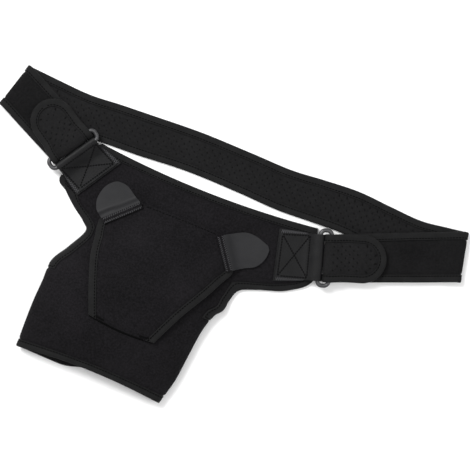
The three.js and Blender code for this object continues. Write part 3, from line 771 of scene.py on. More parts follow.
def panel_row(rows, at, steps, bow_share=lambda share: 1.0):
    """Places along a row: each with its share and distance, the row's length and the tape share."""
    def end(side, row):
        return spot(column(rows, f"{side}_x", row), column(rows, f"{side}_y", row))

    left, right = end("left", at), end("right", at)
    length = np.linalg.norm(right - left)
    heading = (right - left) / length
    to_cuff = np.cross(heading, UP)
    last = len(rows["left_x"]) - 1

    def tape_along_row(side):
        edge = unit(end(side, min(at + 0.5, last)) - end(side, max(at - 0.5, 0)))
        return TAPE_WIDTH / max(abs(np.cross(edge, heading)[2]), 0.4)

    bow = column(rows, "bow", at) * BRACE_WIDTH
    row = []
    for distance, inset in across_marks(length, tape_along_row("left"), tape_along_row("right"), steps):
        share = distance / length
        bow_here = bow * (1 - (2 * share - 1) ** 2) * bow_share(share)
        row.append((left + heading * distance + to_cuff * bow_here, share, distance, length, inset))
    return row


def row_places(rows, at, steps):
    return [item[0] for item in panel_row(rows, at, steps)]


def row_middle(rows, at):
    return spot((column(rows, "left_x", at) + column(rows, "right_x", at)) / 2,
                (column(rows, "left_y", at) + column(rows, "right_y", at)) / 2)


def row_spacing(rows, row):
    return np.linalg.norm(row_middle(rows, row + 1) - row_middle(rows, row))


def row_inside(rows, edge, distance):
    """The row number that lies a distance inside the table's first or last row."""
    step = ROW_STEP if edge == 0 else -ROW_STEP
    at = float(edge)
    while np.linalg.norm(row_middle(rows, at) - row_middle(rows, edge)) < distance:
        at += step
    return at


def between(start, end, step):
    count = max(int(round((end - start) / step)), 1)
    return [blend(start, end, index / count) for index in range(1, count)]


def sleeve_row_marks():
    """Row numbers with their share of the tape at the cuff, armpit and neck edges."""
    armpit_tape = TAPE_WIDTH / row_spacing(SLEEVE_ROWS, ARMPIT_ROW - 1)
    ramp = PRESS_RAMP / TAPE_WIDTH
    marks = [(row_inside(SLEEVE_ROWS, CUFF_ROW, TAPE_WIDTH * step), "cuff", step) for step in TAPE_STEPS]
    first = row_inside(SLEEVE_ROWS, CUFF_ROW, TAPE_WIDTH + PRESS_RAMP)
    last = ARMPIT_ROW - armpit_tape * (1 + ramp)
    marks += [(at, None, None) for at in [first, *between(first, last, 0.125), last]]
    marks += [(ARMPIT_ROW - armpit_tape * step, "armpit", step) for step in reversed(TAPE_STEPS)]
    neck_start = row_inside(SLEEVE_ROWS, NECK_ROW, TAPE_WIDTH + PRESS_RAMP)
    marks += [(at, None, None) for at in [*between(ARMPIT_ROW, WING_ROW, 0.1), WING_ROW]]
    marks += [(at, None, None) for at in [*between(WING_ROW, neck_start, 0.12), neck_start]]
    marks += [(row_inside(SLEEVE_ROWS, NECK_ROW, TAPE_WIDTH * step), "neck", step)
              for step in reversed(TAPE_STEPS)]
    return marks


def sleeve_top_height(at, share):
    edge, crown = (max(column(SLEEVE_ROWS, name, at), 0) * SLEEVE_HEIGHT for name in ("edge", "crown"))
    from_middle = abs(2 * share - 1)
    round_shape = max(1 - from_middle ** CROWN_POWER, 0) ** CROWN_ROUNDNESS
    narrow_shape = (1 - from_middle ** 2) ** 2
    dome = min(max(column(SLEEVE_ROWS, "dome", at), 0), 1)
    return BOUND_HALF + blend(edge, max(crown, edge), blend(narrow_shape, round_shape, dome))


def sleeve_under_height(at, distance, length):
    from_end = min(distance, length - distance) / UNDER_FOLD_REACH
    drop = math.sqrt(1 - (1 - min(from_end, 1)) ** 2)
    from_mouth = min(at - CUFF_ROW, ARMPIT_ROW - at) * row_spacing(SLEEVE_ROWS, CUFF_ROW)
    flat = blend(BOUND_HALF, SLEEVE_WALL / 2, ease((from_mouth - TAPE_WIDTH) / (2 * PRESS_RAMP)))
    return blend(sleeve_top_height(at, 0), flat, drop)


def under_bow_share(at):
    """The under layer shows below the top one in the rear half of the cuff."""
    shown = 1 - ease(at / ARMPIT_ROW)
    return lambda share: 1 - shown * (1 + UNDER_PEEK) * (1 - ease((share - PEEK_START) / PEEK_FADE))


def sleeve_sheet():
    top_rows, under_rows = [], []
    for at, zone, step in sleeve_row_marks():
        places = panel_row(SLEEVE_ROWS, at, SLEEVE_COLUMNS)
        last = len(places) - 1
        top = []
        for index, (place, share, _, _, side_inset) in enumerate(places):
            marks, inset = [], None
            if zone in ("cuff", "neck"):
                marks += tape_marks(zone, step == 0)
                inset = step
            on_yoke = ARMPIT_ROW <= at <= WING_ROW
            if side_inset is not None and (zone == "armpit" or on_yoke):
                marks += tape_marks("armpit", on_yoke and index in (0, last))
                inset = max(side_inset, step) if zone == "armpit" else side_inset
            half = (PRESSED_WALL if marks else SLEEVE_WALL) / 2
            top.append(Corner(at_height(place, sleeve_top_height(at, share)), half, inset, marks))
        top_rows.append(top)
        if at > ARMPIT_ROW:
            continue
        under = []
        under_places = panel_row(SLEEVE_ROWS, at, SLEEVE_COLUMNS, under_bow_share(at))
        for index, (place, _, distance, length, _) in enumerate(under_places):
            marks = tape_marks(zone, step == 0) if zone else []
            if index in (0, last):
                place = top[index].at
            else:
                place = at_height(place, sleeve_under_height(at, distance, length))
            half = (PRESSED_WALL if marks else SLEEVE_WALL) / 2
            under.append(Corner(place, half, step if zone else None, marks))
        under_rows.append(under)
    return Sheet((top_rows, False), (under_rows, True))


# The flap and its tabs

def flap_sheet(tree):
    row_numbers = [0, 0.04, 0.1, *between(0.1, FLAP_TOP_ROW, 0.1), FLAP_TOP_ROW]
    rows = [panel_row(FLAP_ROWS, at, FLAP_COLUMNS) for at in row_numbers]
    heights = lay_grid(tree, [[item[0] for item in row] for row in rows], LAY_GAP + BOUND_HALF)
    corners = []
    for at, row, row_heights in zip(row_numbers, rows, heights):
        last = len(row) - 1
        line = []
        for index, ((place, _, _, _, inset), height) in enumerate(zip(row, row_heights)):
            marks = []
            if at <= FLAP_BOUND_ROW and inset is not None:
                marks = tape_marks("rear" if index < last / 2 else "front", index in (0, last))
            sewn = 1 - ease(at / SEWN_ROWS)
            half = (PRESSED_WALL if marks else blend(FLAP_WALL, PRESSED_WALL, sewn)) / 2
            low = height - (BOUND_HALF - PRESSED_WALL / 2) * sewn * 0.8
            line.append(Corner(at_height(place, height if marks else low), half, inset, marks))
        corners.append(line)
    return Sheet((corners, False))


def flap_seam(side):
    """The middle and direction of the flap edge that a tab is sewn to."""
    start, end = (spot(FLAP_ROWS[f"{side}_x"][row], FLAP_ROWS[f"{side}_y"][row])
                  for row in (FLAP_BOUND_ROW, FLAP_TOP_ROW))
    way = end - start
    return (start + end) / 2, math.degrees(math.atan2(way[1], way[0]))


def tab_stitches(tab, seam, outward_degrees, tree):
    """Two rows of pale zigzag stitches, along both sides of a tab's lap."""
    outward = direction(outward_degrees)
    sideways = np.cross(outward, UP) * tab["width"] / 2 * TAB_STITCH_SHARE
    segments = []
    for depth in (0.3 - TAB_LAP, -SEAM_WIDTH):
        start, stop = seam + outward * depth - sideways, seam + outward * depth + sideways
        near, far = lines_between(start, stop, outward, SEAM_WIDTH, SEAM_PITCH)
        segments += ticks(tree, near[:-1], far[1:], TAPE_RISE)
    return segments


def flap_seam_stitches(tree):
    """The zigzag that sews the flap's lower edge down, with a dense bar of stitches near both ends."""
    line = row_places(FLAP_ROWS, SEAM_ROW, SEAM_PLACES)
    above = -unit(np.cross(line[-1] - line[0], UP))
    drop, bar_inset = above * SEAM_DROP, above * SEAM_BAR_INSET
    segments = []
    for start, stop in zip(line, line[1:]):
        near, far = lines_between(start - drop, stop - drop, above, SEAM_WIDTH, SEAM_PITCH / 2)
        segments += zigzag(tree, near, far, SEAM_RISE)
    for first, last in SEAM_BARS:
        start, stop = line[first] + bar_inset, line[last] + bar_inset
        near, far = lines_between(start, stop, above, SEAM_BAR_WIDTH, SEAM_PITCH / 4)
        segments += zigzag(tree, near, far, HIGH_RISE)
    return segments


def flap_edge_shade_stitches(tree):
    """A row of dark stitches just inside the flap's free upper edge, between the tabs. They are painted
    shade: a dark line standing for the shade along the fold at that edge.
    """
    at = FLAP_TOP_ROW - EDGE_SHADE_INSET / row_spacing(FLAP_ROWS, FLAP_TOP_ROW - 1)
    line = row_places(FLAP_ROWS, at, 20)
    segments = []
    for start, stop in zip(line[1:-2], line[2:-1]):
        segments += surface_stitches(tree, start, stop, STITCH_LENGTH, STITCH_LENGTH * 0.9)
    return segments


def tab_sheet(tab, seam, outward_degrees, tree):
    outward = direction(outward_degrees)
    sideways = np.cross(outward, UP)
    outline = tab["outline"]
    lap = TAB_LAP / tab["depth"]
    marks = [(-lap, -1.0, 1.0), (-lap / 2, -1.0, 1.0)]
    last = len(outline["depth"]) - 1
    for at in [0, *between(0, last, 0.2), last]:
        marks.append(tuple(column(outline, name, at) for name in ("depth", "left", "right")))
    grid = []
    for depth, left, right in marks:
        sides = [blend(left, right, step / TAB_COLUMNS) * tab["width"] / 2 for step in range(TAB_COLUMNS + 1)]
        grid.append([seam + outward * depth * tab["depth"] + sideways * side for side in sides])
    heights = lay_grid(tree, grid, LAY_GAP + TAB_WALL / 2)
    corners = []
    for (depth, _, _), row, line in zip(marks, grid, heights):
        label = ["lap"] if depth <= 0 else []
        corners.append([Corner(at_height(place, height), TAB_WALL / 2, None, label)
                        for place, height in zip(row, line)])
    return Sheet((corners, False))


# The strap

class Station:
    """A line across the strap: its centre, the direction across, and half the cloth's width.

    The belly is how far the cloth bulges in its middle.
    """

    def __init__(self, centre, across, spread, belly=(0, 0, 0)):
        self.centre = centre
        self.across = direction(across)
        self.half = STRAP_WIDTH * spread / 2 - TAPE_REACH
        self.belly = np.array(belly)

    def place(self, radius, side):
        return self.centre + self.across * side * radius + self.belly * (1 - (radius / self.half) ** 2)


def ring_frame(end):
    heading = direction(end["heading"])
    centre = spot(*end["ring"], RING_LEVEL)
    return centre, heading, centre + heading * BAR_OFFSET, centre - heading * BAR_OFFSET


def lap_away(end):
    """The direction in which a folded end runs away from its ring."""
    return direction(end["end_across"] + 90 * end["turn"])


def lap_length(end):
    """How far the strap runs from the ring to the middle of its rounded tip."""
    return end["length"] - STRAP_WIDTH * end["tip_spread"] / 2


def fold_frame(end):
    """The direction in which a fold of the strap points, and the middle of its axis."""
    fold_out = direction(end["fold_across"] + 90 * end["turn"])
    return fold_out, spot(*end["fold"]) - fold_out * (FOLD_RADIUS + BOUND_HALF)


def strap_end(end):
    """The stations from a tip to its ring, round the ring's bar, back to the fold and round it."""
    _, heading, bar, _ = ring_frame(end)
    away = lap_away(end)
    fold_out, fold_axis = fold_frame(end)
    bar_line = end["heading"] - 90 * end["turn"]
    stations = []
    tip = lap_length(end)
    for distance in [tip, *between(tip, 0, -STRAP_STEP)]:
        part = ease(distance / RING_EASE)
        level = blend(RING_LEVEL + STRAP_WRAP_RADIUS, END_LEVEL, part)
        across = blend(bar_line, end["end_across"], part)
        spread = blend(end["end_spread"], end["tip_spread"], part)
        centre = bar + away * distance + direction(across) * end["tip_aside"] * part
        stations.append(Station(at_height(centre, level), across, spread))
    for angle in HALF_TURN:
        place = bar - heading * (STRAP_WRAP_RADIUS + STRAP_WRAP_SLACK) * math.cos(angle)
        level = RING_LEVEL + STRAP_WRAP_RADIUS * math.sin(angle)
        belly = -heading * STRAP_BELLY * math.cos(angle)
        stations.append(Station(at_height(place, level), bar_line, end["end_spread"], belly))
    start = at_height(bar, 0)
    run_length = np.linalg.norm(fold_axis - start)
    ease_share = FOLD_EASE / run_length
    fold_top = RUN_LEVEL + 2 * FOLD_RADIUS
    for share in between(0, 1, CROSSING_STEP / run_length):
        level = blend(fold_top, CROSS_LEVEL, ease((1 - share) / ease_share))
        across = blend(bar_line, end["run_across"], ease(share * 2))
        across = blend(across, end["fold_across"], ease(share * 2 - 1))
        spread = blend(end["end_spread"], end["fold_spread"], share)
        stations.append(Station(at_height(blend(start, fold_axis, share), level), across, spread))
    for angle in HALF_TURN:
        place = fold_axis + fold_out * FOLD_RADIUS * math.cos(angle)
        level = RUN_LEVEL + FOLD_RADIUS * (1 + math.sin(angle))
        stations.append(Station(at_height(place, level), end["fold_across"], end["fold_spread"]))
    return stations


def fold_row(end):
    """The fold's last line as a row of the long run's table."""
    axis = fold_frame(end)[1]
    return axis[0] / BRACE_LENGTH, axis[1] / BRACE_WIDTH, end["fold_across"], end["fold_spread"]


def run_stations():
    """The stations of the strap's long run, at even steps between its two folds."""
    names = ("x", "y", "across", "spread")
    middle = list(zip(*(LONG_RUN[name] for name in names)))
    rows = table(" ".join(names), fold_row(LEFT_END), *middle, fold_row(RIGHT_END))
    last = len(rows["x"]) - 1
    run = []
    at = 0.0
    while at < last:
        x, y, across, spread = (column(rows, name, at) for name in names)
        run.append(Station(spot(x, y, RUN_LEVEL), across, spread))
        x, y = (column(rows, name, min(at + 0.01, last)) for name in names[:2])
        at += 0.01 * STRAP_STEP / np.linalg.norm(spot(x, y, RUN_LEVEL) - run[-1].centre)
    return run[1:]


def strap_offsets(half):
    """Distances from the middle to one edge, with the share of the tape at each."""
    full = half - TAPE_WIDTH - PRESS_RAMP
    inner = [(full * step / STRAP_HALF_COLUMNS, None) for step in range(STRAP_HALF_COLUMNS + 1)]
    return inner + [(half - TAPE_WIDTH * step, step) for step in reversed(TAPE_STEPS)]


def strap_row(half, place_at):
    """A row of corners across the strap; place_at gives the place for a radius and a side."""
    offsets = strap_offsets(half)
    corners = []
    for side, items in ((-1, offsets[::-1]), (1, offsets[1:])):
        for radius, inset in items:
            marks = [] if inset is None else tape_marks("strap", inset == 0)
            wall = PRESSED_WALL if marks else STRAP_WALL
            corners.append(Corner(place_at(radius, side), wall / 2, inset, marks))
    return corners


def tip_rows(station, away):
    rows = []
    for turn in range(0, 90, TIP_TURN):
        angle = math.radians(turn)

        def place_at(radius, side, angle=angle):
            return (station.centre + away * radius * math.cos(angle)
                    + station.across * side * radius * math.sin(angle))

        rows.append(strap_row(station.half, place_at))
    return rows


def straight_rows(stations):
    return [strap_row(station.half, station.place) for station in stations]


def punch_holes(rows):
    """Marks the corners of a stretch of rows that are nearest to a staggered pattern of holes."""
    middle = len(rows[0]) // 2
    travelled = 0.0
    wanted = 1
    for before, row in zip(rows, rows[1:]):
        travelled += np.linalg.norm(row[middle].at - before[middle].at)
        if travelled < wanted * HOLE_PITCH / 2:
            continue
        sideways = unit(row[-1].at - row[0].at)
        across = np.array([np.dot(corner.at - row[middle].at, sideways) for corner in row])
        for place in HOLE_PLACES + HOLE_PITCH / 2 * (wanted % 2):
            nearest = int(np.argmin(np.abs(across - place)))
            if row[nearest].inset is None and abs(across[nearest] - place) < STRAP_STEP:
                row[nearest].marks = [*row[nearest].marks, "hole"]
        wanted += 1


def punch_tip(rows, station, away):
    """Marks the corners of a rounded end that are nearest to the same pattern."""
    corners = [corner for row in rows for corner in row if corner.inset is None]
    ways = [corner.at - station.centre for corner in corners]
    flat = np.array([[np.dot(way, away), np.dot(way, station.across)] for way in ways])
    for line in range(1, 5):
        for place in HOLE_PLACES + HOLE_PITCH / 2 * (line % 2):
            gaps = np.linalg.norm(flat - np.array([line * HOLE_PITCH / 2, place]), axis=1)
            nearest = int(np.argmin(gaps))
            if gaps[nearest] < STRAP_STEP:
                corners[nearest].marks = [*corners[nearest].marks, "hole"]


def end_rows(end):
    """The rows of one end of the strap, from its rounded tip on, with their holes."""
    stations = strap_end(end)
    away = lap_away(end)
    tip = tip_rows(stations[0], away)
    rows = straight_rows(stations)
    punch_holes(rows[:int(round(lap_length(end) / STRAP_STEP))])
    punch_tip(tip, stations[0], away)
    return tip + rows


def strap_sheet():
    run = straight_rows(run_stations())
    punch_holes(run[6:-6])
    return Sheet((end_rows(LEFT_END) + run + end_rows(RIGHT_END)[::-1], True))


def rounded_box(half_x, half_y, radius, steps):
    """Places round a box with round corners, each with the direction out of the box there."""
    outline = []
    for x_sign, y_sign, start in ((1, 1, 0), (-1, 1, 90), (-1, -1, 180), (1, -1, 270)):
        middle = np.array([x_sign * (half_x - radius), y_sign * (half_y - radius), 0.0])
        for step in range(steps + 1):
            out = direction(start + 90 * step / steps)
            outline.append((middle + out * radius, out))
    return outline


def pad_mesh(end):
    """A thin pad with round corners, under the strap's folded end."""
    bar, away = ring_frame(end)[2], lap_away(end)
    sideways = direction(end["end_across"])
    middle = at_height(bar + away * (PAD_START + PAD_LENGTH / 2), PAD_LEVEL)
    outline = rounded_box(PAD_LENGTH / 2, PAD_WIDTH / 2, PAD_CORNER, 4)
    layers = ((-1, 0.97), (-0.6, 1), (0.6, 1), (1, 0.97))
    points = []
    for level, shrink in layers:
        for (x, y, _), _ in outline:
            points.append(middle + (away * x + sideways * y) * shrink + UP * level * PAD_WALL / 2)
    faces = stack_faces(0, len(layers), len(outline))
    if end["turn"] > 0:
        faces = [face[::-1] for face in faces]
    return np.array(points), faces


# The rings and the loops on the wings

def leaf_place(end, distance, side, margin=0.0):
    """A place on a loop's leaf: how far from the bar, and the share of half its width to a side."""
    bar = ring_frame(end)[3]
    inward = direction(end["heading"] + 180 + end["anchor_lean"])
    near_across = direction(end["heading"] + 90)
    far_across = direction(end["heading"] + 90 + end["far_turn"])
    part = ease(distance / end["anchor_length"])
    across = unit(blend(near_across, far_across, part))
    width = ANCHOR_WIDTH * blend(1, end["far_width"], part) + 2 * margin * part
    return bar + inward * distance + across * side * width / 2


def anchor_row(places, heights):
    return [Corner(at_height(place, height), ANCHOR_WALL / 2) for place, height in zip(places, heights)]


def leaf_rows(distances, places, heights, wrap_level):
    """A leaf's rows, laid on what is under it and lifted to the ring's bar at their near end."""
    rows = []
    for distance, row, laid in zip(distances, places, heights):
        held = blend(wrap_level, laid, ease(distance / RING_EASE))
        rows.append(anchor_row(row, np.maximum(laid, held)))
    return rows


def anchor_sheet(end, tree):
    """A loop: its lower leaf on the wing, the wrap round the ring's bar, and its upper leaf."""
    heading = ring_frame(end)[1]
    sides = [blend(-1, 1, step / ANCHOR_COLUMNS) for step in range(ANCHOR_COLUMNS + 1)]
    length = end["anchor_length"]
    distances = [length * step / ANCHOR_ROWS for step in range(1, ANCHOR_ROWS + 1)]
    longer = 1 + LOWER_LEAF_REACH / length
    places = [[leaf_place(end, distance * longer, side, LOWER_LEAF_MARGIN) for side in sides]
              for distance in distances]
    heights = lay_grid(tree, places, LAY_GAP + ANCHOR_WALL / 2)
    lower = leaf_rows(distances, places, heights, RING_LEVEL - ANCHOR_WRAP_RADIUS)[::-1]
    wrap = []
    reach = ANCHOR_WRAP_RADIUS + ANCHOR_WRAP_SLACK
    for angle in reversed(HALF_TURN):
        row = [leaf_place(end, 0, side) + heading * reach * math.cos(angle) for side in sides]
        level = RING_LEVEL + ANCHOR_WRAP_RADIUS * math.sin(angle)
        wrap.append(anchor_row(row, [level] * len(row)))
    lower_tree = tree_of(thicken(Sheet((lower + wrap[:1], True))))
    places = [[leaf_place(end, distance, side) for side in sides] for distance in distances]
    heights = lay_grid(lower_tree, places, CLEARANCE + ANCHOR_WALL / 2, reach=1)
    upper = leaf_rows(distances, places, heights, RING_LEVEL + ANCHOR_WRAP_RADIUS)
    return Sheet((lower + wrap + upper, True))


def box_stitches(end, tree):
    """A sewn box with a cross on a loop's upper leaf."""
    near, far = end["box"]
    inner = 1 - 2 * BOX_INSET / ANCHOR_WIDTH
    spots = ((near, -inner), (far, -inner), (far, inner), (near, inner))
    corners = [leaf_place(end, distance, side) for distance, side in spots]
    lines = [*zip(corners, corners[1:] + corners[:1]), corners[0::2], corners[1::2]]
    segments = []
    for start, stop in lines:
        segments += surface_stitches(tree, start, stop, BOX_PITCH, BOX_PITCH * 0.8)
    return segments


def margin_stitches(end, tree):
    """Pale zigzag threads over the lower leaf's margins, which the upper leaf leaves bare."""
    segments = []
    for side, start, stop in end["margins"]:
        count = int(abs(stop - start) / SEAM_PITCH * 2)
        distances = [blend(start, stop, step / count) for step in range(count + 1)]
        upper_side = side * (1 - 2 * UPPER_STITCH_INSET / ANCHOR_WIDTH)
        lower_margin = LOWER_LEAF_MARGIN * LOWER_STITCH_SHARE
        upper = [leaf_place(end, distance, upper_side) for distance in distances]
        lower = [leaf_place(end, distance, side, lower_margin) for distance in distances]
        segments += zigzag(tree, upper, lower, HIGH_RISE)
    return segments


def ring_mesh(end):
    """A round bar bent into a long oval, in the plane of the heading and the direction across it."""
    centre, heading, _, _ = ring_frame(end)
    across = np.cross(heading, UP)
    half_length = RING_SLOT_LENGTH / 2 + RING_BAR / 2
    outline = rounded_box(half_length, BAR_OFFSET, BAR_OFFSET * 0.8, 10)
    points, faces = [], []
    for index, ((x, y, _), turned) in enumerate(outline):
        place = centre + across * x + heading * y
        out = across * turned[0] + heading * turned[1]
        low, high = index * RING_SIDES, (index + 1) % len(outline) * RING_SIDES
        for side in range(RING_SIDES):
            angle = 2 * math.pi * side / RING_SIDES
            points.append(place + (out * math.cos(angle) + UP * math.sin(angle)) * RING_BAR / 2)
            other = (side + 1) % RING_SIDES
            faces.append([low + side, high + side, high + other, low + other])
    return np.array(points), faces


# Materials

class Look:
    """A material's nodes, with its surface's own place in millimetres for patterns."""

    def __init__(self, name):
        self.material = bpy.data.materials.new(name)
        self.material.use_nodes = True
        self.tree = self.material.node_tree
        self.shader = self.tree.nodes["Principled BSDF"]
        place = self.tree.nodes.new("ShaderNodeTexCoord").outputs["Object"]
        self.place = self.add("ShaderNodeMapping", "Vector", Vector=place, Scale=(1000, 1000, 1000))

    def add(self, kind, output, settings=None, **inputs):
        """A new node; inputs are named sockets, with numbers or other nodes' outputs."""
        node = self.tree.nodes.new(kind)
        for name, value in (settings or {}).items():
            setattr(node, name, value)
        for name, value in inputs.items():
            self.put(node.inputs[name], value)
        return node.outputs[output]

    def put(self, socket, value):
        if isinstance(value, bpy.types.NodeSocket):
            self.tree.links.new(value, socket)
        else:
            socket.default_value = value

    def surface(self, **inputs):
        for name, value in inputs.items():
            self.put(self.shader.inputs[name.replace("_", " ")], value)

    def noise(self, size, detail=2.0):
        """Soft noise from 0 to 1, with features of a size in millimetres."""
        return self.add("ShaderNodeTexNoise", "Fac", Vector=self.place, Scale=1 / size, Detail=detail)

    def cells(self, size):
        """Distance inside small smooth cells of a size in millimetres."""
        settings = {"feature": "SMOOTH_F1"}
        return self.add("ShaderNodeTexVoronoi", "Distance", settings, Vector=self.place, Scale=1 / size)

    def math(self, operation, *values):
        node = self.tree.nodes.new("ShaderNodeMath")
        node.operation = operation
        for socket, value in zip(node.inputs, values):
            self.put(socket, value)
        return node.outputs[0]

    def spread(self, value, low, high):
        """A value from 0 to 1 spread over a range."""
        return self.add("ShaderNodeMapRange", "Result", Value=value, **{"To Min": low, "To Max": high})

    def ramp(self, value, *stops):
        """Colours at places from 0 to 1."""
        node = self.tree.nodes.new("ShaderNodeValToRGB")
        self.put(node.inputs["Fac"], value)
        elements = node.color_ramp.elements
        while len(elements) < len(stops):
            elements.new(0.5)
        for element, (place, color) in zip(elements, stops):
            element.position = place
            element.color = (*color, 1)
        return node.outputs["Color"]

    def mix(self, factor, first, second):
        """A mix of two colours, by the mix node's own colour sockets."""
        node = self.tree.nodes.new("ShaderNodeMix")
        node.data_type = "RGBA"
        self.put(node.inputs["Factor"], factor)
        for socket, value in ((node.inputs[6], first), (node.inputs[7], second)):
            self.put(socket, value if isinstance(value, bpy.types.NodeSocket) else (*value, 1))
        return node.outputs[2]

    def bump(self, height, distance, strength, normal=None):
        """A bump of a distance in millimetres, on top of another one if given."""
        inputs = {"Height": height, "Distance": distance * METRE, "Strength": strength}
        if normal is not None:
            inputs["Normal"] = normal
        return self.add("ShaderNodeBump", "Normal", **inputs)


def weave(look, pitch, turn):
    """Threads over and under each other, from 0 to 1, at a pitch in millimetres."""
    turned = look.add("ShaderNodeMapping", "Vector", Vector=look.place, Rotation=(0, 0, turn))
    parts = look.add("ShaderNodeSeparateXYZ", "X", Vector=turned).node.outputs
    across, along = (look.math("SINE", look.math("MULTIPLY", parts[axis], math.pi / pitch)) for axis in "XY")
    return look.math("MULTIPLY_ADD", look.math("MULTIPLY", across, along), 0.5, 0.5)


def knit_material(name, dark, light, pitch, holes):
    """A dull knitted face with flecks of lighter yarn and slow changes of tone."""
    look = Look(name)
    knit = weave(look, pitch, 0.5)
    flecks = look.noise(1.9)
    clouds = look.noise(38, 4)
    tone = look.math("ADD", look.math("MULTIPLY", flecks, 0.65), look.math("MULTIPLY", clouds, 0.35))
    tone = look.math("ADD", tone, look.math("MULTIPLY", knit, 0.1))
    color = look.ramp(tone, (0.38, dark), (0.74, light))
    # Painted shade: inside the holes the colour drops to near black, for the shade in these small recesses.
    if holes:
        hole = look.add("ShaderNodeAttribute", "Fac", {"attribute_name": "hole"})
        inside = look.add("ShaderNodeMapRange", "Result", Value=hole, **{"From Min": 0.15, "From Max": 0.5})
        color = look.mix(inside, color, tuple(share * 0.16 for share in dark))
    fuzz = look.bump(look.noise(0.5), 0.25, 0.6)
    normal = look.bump(knit, 0.22, 0.7, fuzz)
    look.surface(Base_Color=color, Roughness=look.spread(flecks, 0.82, 0.96), Normal=normal)
    look.surface(Specular_IOR_Level=0.1, Sheen_Weight=0.02, Sheen_Roughness=0.5)
    return look.material


def tape_material():
    """Folded edge tape: fine ribs, a little lighter where it is rubbed."""
    look = Look("bound_tape")
    ribs = weave(look, 0.62, 0.9)
    wear = look.noise(9, 3)
    color = look.ramp(wear, (0.35, (0.0042, 0.0042, 0.0044)), (0.68, (0.0078, 0.0078, 0.0080)))
    normal = look.bump(ribs, 0.16, 0.6, look.bump(look.noise(1.6), 0.3, 0.5))
    look.surface(Base_Color=color, Roughness=look.spread(wear, 0.72, 0.88), Normal=normal)
    look.surface(Specular_IOR_Level=0.16, Sheen_Weight=0.02)
    return look.material


def thread_material(name, color, roughness, shine):
    """Twisted sewing thread."""
    look = Look(name)
    twist = look.noise(0.6)
    lighter = tuple(share * 1.5 for share in color)
    look.surface(Base_Color=look.ramp(twist, (0.3, color), (0.7, lighter)), Roughness=roughness)
    look.surface(Normal=look.bump(twist, 0.1, 0.6), Specular_IOR_Level=shine)
    return look.material


def leather_material():
    """Coated loop material with a fine pebbled grain, shinier in some patches than in others."""
    look = Look("grained_loop")
    pebbles = look.cells(1.1)
    wear = look.noise(14, 4)
    color = look.ramp(wear, (0.35, (0.0030, 0.0030, 0.0034)), (0.68, (0.0062, 0.0062, 0.0067)))
    normal = look.bump(pebbles, 0.22, 0.7, look.bump(look.noise(5), 0.5, 0.4))
    look.surface(Base_Color=color, Roughness=look.spread(wear, 0.42, 0.6), Normal=normal)
    look.surface(Specular_IOR_Level=0.15)
    return look.material


def tab_material():
    """Smooth grey tab face with a fine brushed nap."""
    look = Look("brushed_tab")
    nap = look.noise(0.7)
    clouds = look.noise(17, 3)
    tone = look.math("ADD", look.math("MULTIPLY", nap, 0.35), look.math("MULTIPLY", clouds, 0.65))
    color = look.ramp(tone, (0.35, (0.0095, 0.0095, 0.0105)), (0.68, (0.0165, 0.0165, 0.0180)))
    look.surface(Base_Color=color, Roughness=look.spread(clouds, 0.5, 0.66))
    look.surface(Normal=look.bump(nap, 0.08, 0.5), Specular_IOR_Level=0.18, Sheen_Weight=0.03)
    return look.material


def ring_material():
    """Moulded ring: satin, with faint flow marks and rubbed patches."""
    look = Look("moulded_ring")
    marks = look.noise(3.2, 4)
    color = look.ramp(marks, (0.3, (0.035, 0.035, 0.037)), (0.7, (0.06, 0.06, 0.0625)))
    look.surface(Base_Color=color, Roughness=look.spread(marks, 0.28, 0.46), Metallic=0.35)
    look.surface(Normal=look.bump(look.noise(1.2), 0.08, 0.5), Specular_IOR_Level=0.5)
    return look.material


def floor_material():
    """Plain pale board, matt, with the faintest mottling."""
    look = Look("pale_floor")
    color = look.ramp(look.noise(300), (0.3, (0.93, 0.93, 0.93)), (0.7, (0.95, 0.95, 0.95)))
    look.surface(Base_Color=color, Roughness=0.75, Specular_IOR_Level=0.1)
    return look.material


# Knitted cloths: dark and light yarn, pitch in millimetres, and whether it has holes, which are painted dark
# as shade.
KNITS = {
    "knitted_neoprene": ((0.0019, 0.0017, 0.0021), (0.0098, 0.0089, 0.0104), 0.95, False),
    "strap_face": ((0.0052, 0.0051, 0.0054), (0.0112, 0.0110, 0.0115), 0.8, True),
    "strap_back": ((0.0024, 0.0023, 0.0026), (0.0086, 0.0084, 0.0088), 0.7, False),
}

# Threads: colour, roughness and shine.
THREADS = {
    "sunk_thread": ((0.0042, 0.0042, 0.0044), 0.9, 0.03),
    # The dark thread sews the flap's seam, and its row along the flap's upper edge is painted shade.
    "seam_thread_and_edge_shade": ((0.0025, 0.0025, 0.0026), 0.8, 0.04),
    "tape_thread": ((0.0009, 0.0009, 0.0010), 0.8, 0.04),
    "pale_thread": ((0.046, 0.046, 0.049), 0.6, 0.3),
}


def make_materials():
    """All materials of the brace by name."""
    made = [knit_material(name, *values) for name, values in KNITS.items()]
    made += [tape_material(), tab_material(), leather_material(), ring_material()]
    made += [thread_material(name, *values) for name, values in THREADS.items()]
    return {material.name: material for material in made}


# The studio

def make_floor(bounds):
    level = bounds[0][2] - FLOOR_DROP
    mesh = bpy.data.meshes.new("floor")
    signs = ((-1, -1), (1, -1), (1, 1), (-1, 1))
    mesh.from_pydata([(x * FLOOR_REACH, y * FLOOR_REACH, level) for x, y in signs], [], [[0, 1, 2, 3]])
    mesh.materials.append(floor_material())
    floor = bpy.data.objects.new("floor", mesh)
    bpy.context.scene.collection.objects.link(floor)


def make_light(name, place, size, power):
    """A round lamp that points at the frame's origin."""
    data = bpy.data.lights.new(name, "AREA")
    data.shape = "DISK"
    data.size = size
    data.energy = power
    light = bpy.data.objects.new(name, data)
    light.location = place
    light.rotation_euler = (Vector() - Vector(place)).to_track_quat("-Z", "Y").to_euler()
    bpy.context.scene.collection.objects.link(light)


